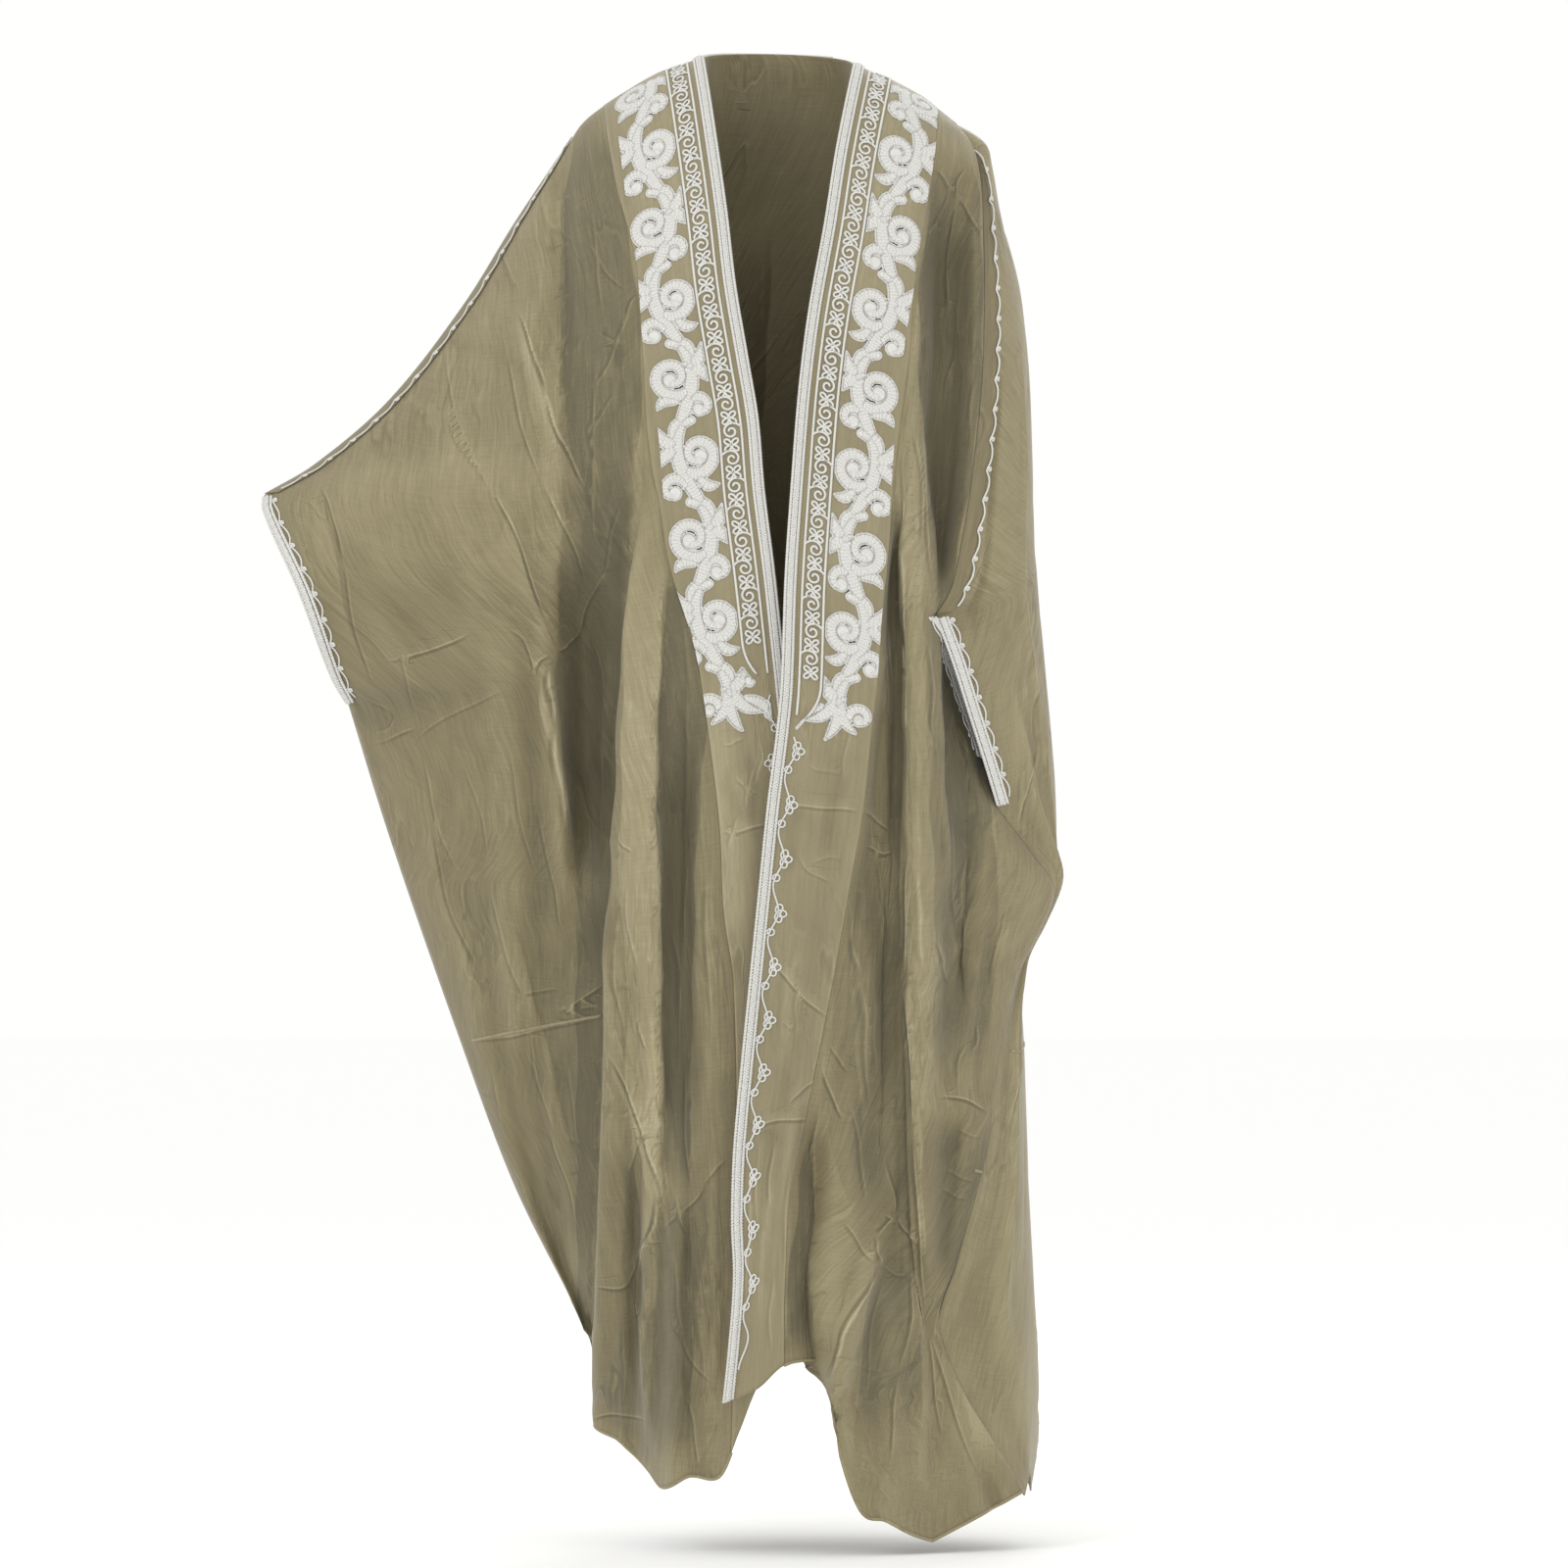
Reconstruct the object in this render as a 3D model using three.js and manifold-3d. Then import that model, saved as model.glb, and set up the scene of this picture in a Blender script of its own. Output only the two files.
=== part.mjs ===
// A bisht, the wide open-fronted cloak, as it hangs on the shoulders: the right arm is held out and
// down, the left arm hangs and bends a little forward, and the left front laps over the right one.
// Millimetres, +Z up, the front faces -Y, and the wearer's right is at -X.
// The origin is at the middle of the neck, on the height of the shoulder seams, where the cloak is
// carried. Every piece is a cloth wall. The panels are functions of two numbers: "across" (0 at the
// front edge, 1 at the edge of the front band, 2 at the main lap fold, 3 at the side) and "down"
// (0 at the shoulder, 1 at the top of the cuff, 2 at its foot, 3 at the hem).
import * as THREE from 'three';
import { mergeVertices } from 'three/addons/utils/BufferGeometryUtils.js';
import Module from 'manifold-3d';

const wasm = await Module();
wasm.setup();

// ---------------------------------------------------------------- driving sizes
const CLOTH = 1.5; // wall of one layer of the panels
const BAND_CLOTH = 2.2; // wall of the doubled front band
const SEAM_GAP = 0.3; // air between two pieces at a seam
const BAND_WIDTH = 105; // doubled band along each front edge
const BRAID_WIDTH = 14; // plaited braid on the front edges
const BRAID_THICK = 2.4;
const LATTICE_START = 17; // fine scroll lattice, measured from the front edge
const LATTICE_END = 41;
const LATTICE_THICK = 1.2;
const SCROLL_THICK = 1.8; // bold scroll applique
const SCROLL_GAP = 1.3; // its seat above the band
const SCROLL_TRIM = 0.3; // corners flatter than this are dropped from the scroll work
const SCROLL_FACET = 21; // longest side of a facet, so that the scroll work bends with the band
const SCROLL_CENTRE = 72; // middle of the scroll work, from the front edge
const SCROLL_TOP = 26; // first scroll, down the band from the shoulder
const SCROLL_REPEAT = 168;
const SCROLL_COUNT = 4;
const CUFF_BRAID_WIDTH = 13;
const SHOULDER_STRIP = 20; // seam strip over shoulder and arm
const STRIP_THICK = 1.0;
const NECK_HALF = 76;
const NECK_BACK = 75; // how far the back neckline lies behind the shoulder seams
const NECK_RISE = 12;
const CHEST_DEPTH = 120; // the fronts stand this far before the shoulder seams
const BACK_DEPTH = 132;
const SHOULDER_ROUND = 70; // drop over which the cloth rounds off the shoulder
const HEM_FLARE = 28; // how much further out the cloth stands at the hem
const BACK_CUFF_SWELL = 46; // how far the back edge of the right cuff stands out behind
const LAP_CLEAR = 11; // the left front lies this far before the right one
const UNDER_DROP = 62; // the hidden edge of the right front hangs this far back low down
const COAT_LENGTH = 1450;

const ROWS = { arm: 12, cuff: 4, skirt: 9 };
const TOTAL_ROWS = ROWS.arm + ROWS.cuff + ROWS.skirt;

// ---------------------------------------------------------------- small maths
const mix = (a, b, k) => a + (b - a) * k;
const clamp01 = (k) => Math.min(1, Math.max(0, k));
const smooth = (k) => clamp01(k) ** 2 * (3 - 2 * clamp01(k));

function table(columns, rows) {
  return rows.map((row) => Object.fromEntries(columns.map((name, k) => [name, row[k]])));
}

// Reads one column of a table at a height z, on a smooth curve through the rows (z falls down the rows).
function read(rows, column, z) {
  const last = rows.length - 1;
  if (z >= rows[0].z) return rows[0][column];
  if (z <= rows[last].z) return rows[last][column];
  let k = 0;
  while (rows[k + 1].z > z) k += 1;
  const slope = (n) => {
    const before = rows[Math.max(0, n - 1)];
    const after = rows[Math.min(last, n + 1)];
    return (after[column] - before[column]) / (after.z - before.z);
  };
  const span = rows[k + 1].z - rows[k].z;
  const t = (z - rows[k].z) / span;
  const keep = (2 * t ** 3 - 3 * t ** 2 + 1) * rows[k][column];
  const reach = (3 * t ** 2 - 2 * t ** 3) * rows[k + 1][column];
  const bend = (t ** 3 - 2 * t ** 2 + t) * slope(k) + (t ** 3 - t ** 2) * slope(k + 1);
  return keep + reach + bend * span;
}

// ---------------------------------------------------------------- lines of the cut, as worn
const RIGHT = {
  side: -1,
  neck: { x: -77, z: 3 },
  cuffSwell: -42,
  breaks: { edge: [3, -400, -620, -1335], side: [-89, -447, -662, -1345] },
  shoulder: table(['x', 'z'], [[-77, 3], [-105, -7], [-123, -13], [-152, -29], [-183, -49], [-203, -66],
    [-218, -89]]),
  lapel: table(['z', 'x'], [[3, -77], [-48, -69], [-160, -53], [-236, -44], [-313, -31], [-373, -21],
    [-443, -15], [-522, -5], [-566, 0], [-700, 14], [-900, 30], [-1100, 40], [-1335, 40]]),
  band: table(['z', 'x'], [[-49, -183], [-134, -166], [-208, -146], [-294, -139], [-389, -133],
    [-448, -123], [-522, -111], [-608, -85], [-710, -69], [-789, -60], [-873, -56], [-944, -46],
    [-1150, -43], [-1440, -52]]),
  lap: table(['z', 'x'], [[-66, -201], [-150, -186], [-300, -160], [-393, -140], [-623, -150],
    [-837, -163], [-980, -168], [-1123, -175], [-1257, -181], [-1393, -188]]),
  arm: table(['z', 'x', 'y', 'turn'], [[-89, -218, 0, 0], [-167, -270, 0, 0], [-255, -325, -2, 0],
    [-353, -402, -6, 0], [-418, -478, -9, 0], [-447, -528, -10, 0]]),
  cuff: table(['z', 'x', 'y', 'turn'], [[-447, -528, -10, 0], [-463, -528, -10, 0], [-547, -490, -8, 0],
    [-633, -458, -4, 0], [-662, -442, 0, 0]]),
  seam: table(['z', 'x', 'y', 'turn'], [[-662, -442, 0, 0], [-798, -400, 4, 0], [-1006, -328, 8, 0],
    [-1158, -271, 10, 0], [-1311, -196, 14, 0], [-1345, -190, 16, 0]]),
  hem: table(['x', 'z'], [[40, -1325], [-17, -1347], [-41, -1401], [-56, -1439], [-66, -1448],
    [-91, -1446], [-120, -1459], [-134, -1443], [-161, -1417], [-177, -1400], [-190, -1393]]),
  fold: { top: -380, full: -620, width: 36, shift: 15, depth: 42, reach: 150, front: 1 },
  folds: table(['x0', 'z0', 'x1', 'z1', 'half', 'rise'], [
    [-267, -235, -194, -460, 24, 9], [-222, -90, -226, -300, 20, -7], [-203, -480, -186, -860, 40, -24],
    [-243, -560, -214, -880, 18, 10], [-285, -520, -262, -1040, 30, 8], [-136, -560, -136, -980, 22, 12],
    [-98, -640, -96, -1130, 30, -22], [-101, -1120, -106, -1470, 24, 14], [-141, -1080, -146, -1450, 22, -16],
    [-420, -700, -345, -1010, 42, -8], [-330, -900, -262, -1200, 26, 7], [-470, -440, -350, -640, 34, -8]]),
};
const LEFT = {
  side: 1,
  neck: { x: 76, z: -4 },
  cuffSwell: 46,
  breaks: { edge: [-4, -540, -745, -1371], side: [-65, -572, -769, -1464] },
  shoulder: table(['x', 'z'], [[76, -4], [103, -16], [122, -24], [148, -38], [162, -49], [182, -65]]),
  lapel: table(['z', 'x'], [[-4, 76], [-96, 58], [-173, 46], [-262, 30], [-342, 20], [-443, 12],
    [-534, 6], [-643, 2], [-694, -3], [-766, -12], [-855, -21], [-944, -30], [-1034, -39], [-1114, -46],
    [-1186, -48], [-1243, -46], [-1314, -51], [-1371, -57]]),
  band: table(['z', 'x'], [[-49, 162], [-90, 160], [-147, 152], [-230, 138], [-310, 132], [-384, 122],
    [-439, 116], [-518, 110], [-573, 104], [-630, 100], [-694, 93], [-769, 85], [-844, 72], [-909, 61],
    [-980, 49], [-1044, 38], [-1130, 24], [-1204, 11], [-1329, 5]]),
  lap: table(['z', 'x'], [[-60, 173], [-120, 172], [-200, 160], [-300, 149], [-435, 130], [-502, 129],
    [-598, 130], [-662, 132], [-823, 127], [-980, 132], [-1123, 137], [-1240, 142], [-1330, 150],
    [-1500, 160]]),
  arm: table(['z', 'x', 'y', 'turn'], [[-65, 182, 0, 0], [-86, 197, -16, 20], [-119, 205, -40, 55],
    [-172, 208, -58, 60], [-308, 208, -76, 62], [-426, 197, -90, 62], [-502, 185, -98, 60],
    [-547, 174, -102, 56], [-572, 158, -104, 50]]),
  cuff: table(['z', 'x', 'y', 'turn'], [[-572, 158, -104, 50], [-620, 176, -97, 50], [-670, 192, -90, 50],
    [-720, 208, -80, 50], [-769, 223, -68, 50]]),
  seam: table(['z', 'x', 'y', 'turn'], [[-769, 223, -68, 50], [-812, 256, -50, 42], [-851, 281, -34, 36],
    [-898, 265, -44, 44], [-941, 243, -56, 52], [-1052, 218, -80, 58], [-1116, 211, -88, 58],
    [-1229, 180, -98, 56], [-1289, 162, -100, 54], [-1350, 182, -92, 52], [-1410, 217, -78, 46],
    [-1464, 250, -62, 36]]),
  hem: table(['x', 'z'], [[-57, -1371], [-21, -1354], [5, -1331], [30, -1329], [50, -1354], [61, -1418],
    [83, -1479], [108, -1489], [140, -1506], [169, -1513], [204, -1504], [250, -1466]]),
  fold: { top: -380, full: -560, width: 26, shift: 9, depth: 24, reach: 60, front: -1 },
  folds: table(['x0', 'z0', 'x1', 'z1', 'half', 'rise'], [
    [172, -90, 166, -580, 40, -40], [146, -420, 152, -1140, 20, 14], [99, -780, 94, -1200, 28, -20],
    [30, -1040, 36, -1400, 26, -46], [190, -640, 182, -1010, 24, -18], [238, -860, 204, -1200, 20, 9],
    [104, -1190, 50, -1380, 18, 14], [118, -1220, 126, -1540, 40, 16], [182, -1300, 224, -1500, 16, -10],
    [176, -1060, 166, -1260, 18, -9]]),
};
// Outermost line of the cloth on the hanging left arm and below it, seen from the front.
const OUTER = table(['z', 'x', 'y'], [[-65, 184, 2], [-88, 205, 2], [-150, 220, 0], [-188, 227, 0],
  [-259, 246, -4], [-310, 253, -6], [-358, 257, -8], [-443, 260, -10], [-522, 262, -12], [-583, 266, -12],
  [-646, 272, -10], [-742, 281, -6], [-789, 284, -2], [-851, 283, 2], [-898, 268, 4], [-941, 249, 4],
  [-1043, 252, 4], [-1147, 256, 6], [-1243, 261, 8], [-1354, 267, 10], [-1422, 265, 12], [-1464, 259, 14]]);
const BACK = {
  middle: [NECK_RISE, -420, -650, -1322],
  hem: table(['z', 'drop'], [[3, 4], [2.5, 0], [2, 40], [1.5, 34], [1, 0], [0.5, -22], [0, 0]]),
  folds: table(['across', 'half', 'rise', 'top', 'full'], [
    [0.34, 0.09, 10, 0.7, 2.4], [0.55, 0.07, -9, 0.9, 2.6],
    [0.72, 0.09, 13, 0.5, 2.6], [0.93, 0.1, -14, 0.5, 2.7], [1.12, 0.09, 12, 0.4, 2.6],
    [1.3, 0.08, -15, 0.6, 2.7], [1.47, 0.09, 14, 0.9, 2.7], [1.66, 0.09, -12, 1.1, 2.8],
    [1.84, 0.08, 10, 1.3, 2.8], [2.5, 0.3, -6, 1.6, 2.6]]),
};

// ---------------------------------------------------------------- the fronts as surfaces
const atBreak = (marks, down) => {
  const k = Math.min(2, Math.floor(down));
  return mix(marks[k], marks[k + 1], down - k);
};

// Point of the side line at "down": the ridge along the arm, then the cuff, then the side seam.
function sideLine(half, down) {
  const part = [half.arm, half.cuff, half.seam][Math.min(2, Math.floor(down))];
  const z = atBreak(half.breaks.side, down);
  const turn = THREE.MathUtils.degToRad(read(part, 'turn', z));
  return {
    x: read(part, 'x', z),
    y: read(part, 'y', z),
    z,
    seamNormal: new THREE.Vector3(Math.sin(turn), Math.cos(turn), 0),
  };
}

// Reads z from a table that runs along x from the front edge to the side.
function readAcross(rows, x, side) {
  const turned = rows.map((row) => ({ z: -side * row.x, value: row.z }));
  return read(turned, 'value', -side * x);
}

// How far a ridge or trough moves the cloth at (x, z): the sum over the fold table.
function relief(folds, x, z) {
  let sum = 0;
  for (const fold of folds) {
    const t = (z - fold.z0) / (fold.z1 - fold.z0);
    if (t < 0 || t > 1) continue;
    const away = Math.abs(x - mix(fold.x0, fold.x1, t)) / fold.half;
    if (away >= 1) continue;
    const fade = smooth(t / 0.28) * smooth((1 - t) / 0.22);
    const hem = fold.z1 < -1330 ? smooth(t / 0.28) : fade;
    sum += fold.rise * 0.5 * (1 + Math.cos(Math.PI * away)) * hem;
  }
  return sum;
}

// How far a cuff stands open at "down": nothing at its top and its foot.
function cuffOpening(down) {
  return down > 1 && down < 2 ? Math.sin(Math.PI * (down - 1)) : 0;
}

function frontDepth(drop) {
  const rounded = 1 - Math.exp(-((Math.max(0, drop) / SHOULDER_ROUND) ** 0.7));
  return CHEST_DEPTH * rounded + HEM_FLARE * (Math.max(0, drop) / COAT_LENGTH);
}

// One point of a front: across 0..3, down 0..3.
function frontPoint(half, across, down) {
  const edgeZ = atBreak(half.breaks.edge, down);
  const side = sideLine(half, down);
  const edgeX = read(half.lapel, 'x', edgeZ);
  const shareOf = (line) => {
    let share = 0.3;
    for (let pass = 0; pass < 4; pass += 1) {
      const x = read(line, 'x', mix(edgeZ, side.z, share));
      share = (x - edgeX) / (side.x - edgeX);
    }
    return share;
  };
  const bandShare = shareOf(half.band);
  const lapShare = Math.max(bandShare + 0.02, Math.min(0.97, shareOf(half.lap)));
  const marks = [0, bandShare, lapShare, 1];
  const k = Math.min(2, Math.floor(across));
  const share = mix(marks[k], marks[k + 1], across - k);
  let x = mix(edgeX, side.x, share);
  const rowZ = mix(edgeZ, side.z, share);

  // the shoulder line and the hem bend the rows near them
  const topZ = readAcross(half.shoulder, mix(half.neck.x, half.shoulder.at(-1).x, share), half.side);
  const topBend = topZ - mix(half.breaks.edge[0], half.breaks.side[0], share);
  const lastHem = half.hem.at(-1);
  const sideEnd = sideLine(half, 3);
  const hemEdgeX = read(half.lapel, 'x', half.breaks.edge[3]);
  const hemShare = mix(hemEdgeX, sideEnd.x, share);
  const hemZ = across > 2
    ? mix(readAcross(half.hem, mix(hemEdgeX, sideEnd.x, lapShare), half.side), sideEnd.z, across - 2)
    : readAcross(half.hem, half.side * Math.min(half.side * hemShare, half.side * lastHem.x), half.side);
  const hemBend = hemZ - mix(half.breaks.edge[3], half.breaks.side[3], share);
  const z = rowZ + topBend * clamp01(1 - down / 0.4) ** 2 + hemBend * smooth((down - 2.15) / 0.85);

  // depth: the side line, swelling to the chest
  const drop = topZ - z;
  const swell = Math.sin((Math.PI / 2) * clamp01(1 - share) ** 0.75);
  const chest = -frontDepth(drop);
  let y = side.y + (chest - side.y) * swell;
  y += half.cuffSwell * cuffOpening(down) * share ** 6;

  // the main lap fold, where the cloth doubles under itself
  const lapX = mix(edgeX, side.x, lapShare);
  const span = half.fold;
  const grown = smooth((span.top - z) / (span.top - span.full));
  const out = half.side * span.front * (lapX - x); // positive on the layer that lies in front
  const turnShare = clamp01(0.5 - out / span.width);
  x -= half.side * span.front * -grown * span.shift * Math.sin(2 * Math.PI * turnShare);
  const behind = smooth(turnShare) * (1 - smooth((-out - span.width / 2) / span.reach));
  const nearSide = smooth((1 - share) / 0.12);
  const nearBand = span.front < 0 ? smooth((share - bandShare) / 0.04) : 1;
  y += grown * span.depth * behind * nearSide * nearBand;

  // ridges and troughs, calm near the shoulder, the side and the front edge
  const calm = smooth(drop / 60) * nearSide * smooth((across - 0.75) / 0.5);
  y -= relief(half.folds, x, z) * calm;

  // the left front laps over the right one
  if (half.side > 0) {
    y -= LAP_CLEAR * smooth((-300 - z) / 250) * (1 - smooth((across - 1) / 1.6));
  } else {
    y += 4 * smooth((-480 - z) / 120) * smooth((x + 60) / 50);
    y += UNDER_DROP * smooth((-880 - z) / 220) * smooth((x + 25) / 60);
  }
  return new THREE.Vector3(x, y, z);
}

// ---------------------------------------------------------------- the back as a surface
// Across the back: 0 at the right side, 1 at the middle, 2 on the outermost line of the left arm,
// 3 at the left side, which there lies before the arm.
function neckLine(across) {
  const ridgeEnd = 0.62;
  const ridgeStart = 1.38;
  if (across <= ridgeEnd) {
    const x = mix(RIGHT.shoulder.at(-1).x, RIGHT.neck.x, across / ridgeEnd);
    return new THREE.Vector3(x, 0, readAcross(RIGHT.shoulder, x, -1));
  }
  if (across >= ridgeStart) {
    const x = mix(LEFT.neck.x, LEFT.shoulder.at(-1).x, (across - ridgeStart) / (3 - ridgeStart));
    return new THREE.Vector3(x, 0, readAcross(LEFT.shoulder, x, 1));
  }
  const angle = (Math.PI * (across - ridgeEnd)) / (ridgeStart - ridgeEnd);
  const seamZ = mix(RIGHT.neck.z, LEFT.neck.z, (across - ridgeEnd) / (ridgeStart - ridgeEnd));
  return new THREE.Vector3(
    -NECK_HALF * Math.cos(angle) - 0.5,
    NECK_BACK * Math.sin(angle),
    seamZ + NECK_RISE * Math.sin(angle),
  );
}

function backPoint(across, down) {
  const right = sideLine(RIGHT, down);
  const left = sideLine(LEFT, down);
  const middleZ = atBreak(BACK.middle, down);
  const top = neckLine(across);
  const dropMiddle = NECK_RISE - middleZ;
  const depth = mix(NECK_BACK, BACK_DEPTH, 1 - Math.exp(-dropMiddle / 90))
    + HEM_FLARE * (dropMiddle / COAT_LENGTH);
  const backSwell = BACK_CUFF_SWELL * cuffOpening(down);
  if (across === 0) return new THREE.Vector3(right.x, right.y + backSwell, right.z);
  let x;
  let y;
  let z;
  if (across <= 1) {
    x = mix(right.x, 0, across);
    y = right.y + (depth - right.y) * Math.sin((Math.PI / 2) * across ** 0.78);
    y += backSwell * (1 - across) ** 6;
    z = mix(right.z, middleZ, across);
  } else {
    const outerZ = mix(middleZ, left.z, 0.75);
    const outer = { x: read(OUTER, 'x', left.z), y: read(OUTER, 'y', left.z) };
    if (across <= 2) {
      const angle = (Math.PI / 2) * (across - 1);
      x = outer.x * Math.sin(angle) ** 1.04;
      y = outer.y + (depth - outer.y) * clamp01(Math.cos(angle)) ** 0.86;
      z = mix(middleZ, outerZ, across - 1);
    } else {
      const k = across - 2;
      const turn = 2 * k * (1 - k);
      x = (1 - k) ** 2 * outer.x + turn * mix(outer.x, Math.max(outer.x, left.x), 0.9) + k ** 2 * left.x;
      y = (1 - k) ** 2 * outer.y + turn * mix(outer.y, left.y, 0.62) + k ** 2 * left.y;
      z = mix(outerZ, left.z, k);
    }
  }
  const startZ = (at) => {
    if (at <= 1) return mix(RIGHT.breaks.side[0], BACK.middle[0], at);
    const outerTop = mix(BACK.middle[0], LEFT.breaks.side[0], 0.75);
    return at <= 2 ? mix(BACK.middle[0], outerTop, at - 1) : mix(outerTop, LEFT.breaks.side[0], at - 2);
  };
  z += (top.z - startZ(across)) * clamp01(1 - down / 0.6) ** 2;
  z -= read(BACK.hem, 'drop', across) * smooth((down - 2.1) / 0.9);
  const shaped = Math.sin((Math.PI / 2) * clamp01(down / 0.42)) ** 0.62;
  const opening = mix(0.42, 0.13, smooth((across - 1.38) / 0.5));
  x = mix(top.x, x, smooth(down / opening));
  y = mix(top.y, y, shaped);
  for (const fold of BACK.folds) {
    const away = Math.abs(across - fold.across) / fold.half;
    const grown = smooth((down - fold.top) / (fold.full - fold.top));
    if (away < 1) y += fold.rise * 0.5 * (1 + Math.cos(Math.PI * away)) * grown;
  }
  return new THREE.Vector3(x, y, z);
}

// ---------------------------------------------------------------- sheets, walls and trims
const BACKWARD = new THREE.Vector3(0, 1, 0);

function normalAt(surface, across, down) {
  const step = 0.004;
  const a0 = Math.max(0, across - step);
  const a1 = Math.min(3, across + step);
  const d0 = Math.max(0, down - step);
  const d1 = Math.min(3, down + step);
  const sideways = surface(a1, down).sub(surface(a0, down));
  const downwards = surface(across, d1).sub(surface(across, d0));
  return sideways.cross(downwards).normalize();
}

// Rows at the shoulder lie closer together, because the cloth bends most there.
function rowMarks() {
  const marks = [];
  for (let i = 0; i <= TOTAL_ROWS; i += 1) {
    if (i <= ROWS.arm) marks.push((i / ROWS.arm) ** 1.45);
    else if (i <= ROWS.arm + ROWS.cuff) marks.push(1 + (i - ROWS.arm) / ROWS.cuff);
    else marks.push(2 + (i - ROWS.arm - ROWS.cuff) / ROWS.skirt);
  }
  return marks;
}

// A closed wall between two grids of points that face each other.
function wallGeometry(outer, inner) {
  const rows = outer.length;
  const columns = outer[0].length;
  const positions = [...outer.flat(), ...inner.flat()].flatMap((p) => [p.x, p.y, p.z]);
  const index = [];
  const at = (layer, i, j) => layer * rows * columns + i * columns + j;
  const quad = (a, b, c, d) => index.push(a, b, c, a, c, d);
  for (let i = 0; i + 1 < rows; i += 1) {
    for (let j = 0; j + 1 < columns; j += 1) {
      quad(at(0, i, j), at(0, i, j + 1), at(0, i + 1, j + 1), at(0, i + 1, j));
      quad(at(1, i, j), at(1, i + 1, j), at(1, i + 1, j + 1), at(1, i, j + 1));
    }
    const last = columns - 1;
    quad(at(0, i, 0), at(0, i + 1, 0), at(1, i + 1, 0), at(1, i, 0));
    quad(at(0, i, last), at(1, i, last), at(1, i + 1, last), at(0, i + 1, last));
  }
  for (let j = 0; j + 1 < columns; j += 1) {
    const last = rows - 1;
    quad(at(0, 0, j), at(1, 0, j), at(1, 0, j + 1), at(0, 0, j + 1));
    quad(at(0, last, j), at(0, last, j + 1), at(1, last, j + 1), at(1, last, j));
  }
  const geometry = new THREE.BufferGeometry();
  geometry.setAttribute('position', new THREE.Float32BufferAttribute(positions, 3));
  geometry.setIndex(index);
  return facingOut(geometry);
}

function facingOut(geometry) {
  const place = geometry.getAttribute('position');
  const index = geometry.getIndex();
  const [a, b, c] = [new THREE.Vector3(), new THREE.Vector3(), new THREE.Vector3()];
  let volume = 0;
  for (let k = 0; k < index.count; k += 3) {
    a.fromBufferAttribute(place, index.getX(k));
    b.fromBufferAttribute(place, index.getX(k + 1));
    c.fromBufferAttribute(place, index.getX(k + 2));
    volume += a.dot(b.cross(c));
  }
  if (volume < 0) index.array.reverse();
  geometry.computeVertexNormals();
  return geometry;
}

const lifted = (point, normal, height) => point.clone().addScaledVector(normal, height);

// Cloth panel: the sheet outside and the sheet moved in by its wall. Along a sewn edge both layers
// lie face to face, half a seam gap on their own side of the seam line.
function panelGeometry(sheet, wall, sewn) {
  const outer = sheet.points.map((row) => row.map((point) => point.clone()));
  const inner = sheet.points.map((row, i) => row.map((point, j) => (
    lifted(point, sheet.normals[i][j], -wall))));
  for (const { i, j, line, away } of sewn) {
    inner[i][j] = lifted(line, away, SEAM_GAP / 2);
    outer[i][j] = lifted(line, away, SEAM_GAP / 2 + wall);
  }
  sheet.outer = outer;
  sheet.lift = facetNormals(outer, sheet.normals);
  return wallGeometry(outer, inner);
}

// Mean direction of the facets round each point of a grid, on the side of the given normals.
function facetNormals(grid, normals) {
  const sums = grid.map((row) => row.map(() => new THREE.Vector3()));
  for (let i = 0; i + 1 < grid.length; i += 1) {
    for (let j = 0; j + 1 < grid[i].length; j += 1) {
      const facets = [[[i, j], [i, j + 1], [i + 1, j + 1]], [[i, j], [i + 1, j + 1], [i + 1, j]]];
      for (const facet of facets) {
        const [a, b, c] = facet.map(([row, column]) => grid[row][column]);
        const normal = b.clone().sub(a).cross(c.clone().sub(a)).normalize();
        facet.forEach(([row, column]) => sums[row][column].add(normal));
      }
    }
  }
  return sums.map((row, i) => row.map((sum, j) => (
    sum.normalize().multiplyScalar(Math.sign(sum.dot(normals[i][j])) || 1))));
}

// A trim sewn on a sheet along some of its columns and rows, made of the sheet's own points. A row
// number with a fraction lies between two rows.
function trimGeometry(sheet, columns, rows, thick, seat = SEAM_GAP) {
  const layer = (height) => rows.map((row) => columns.map((j) => {
    const i = Math.floor(row);
    const near = lifted(sheet.outer[i][j], sheet.lift[i][j], height);
    return row === i ? near : near.lerp(lifted(sheet.outer[i + 1][j], sheet.lift[i + 1][j], height), row - i);
  }));
  return wallGeometry(layer(seat + thick), layer(seat));
}

const range = (from, to) => Array.from({ length: to - from + 1 }, (_, k) => from + k);

// ---------------------------------------------------------------- sheets of this cloak
const rows = rowMarks();
const BAND_MARKS = [0, BRAID_WIDTH, LATTICE_START, LATTICE_END, 72, BAND_WIDTH];
const GAP_SHARE = SEAM_GAP / 2 / BAND_WIDTH;
const bandColumns = BAND_MARKS.map((mark) => Math.min(mark / BAND_WIDTH, 1 - GAP_SHARE));

// The place across a surface that lies a distance in from one of its edges.
function acrossAt(surface, edge, way, distance, down) {
  const start = surface(edge, down);
  let across = edge;
  while (surface(across, down).distanceTo(start) < distance) across += way * 0.004;
  return across;
}

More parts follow.
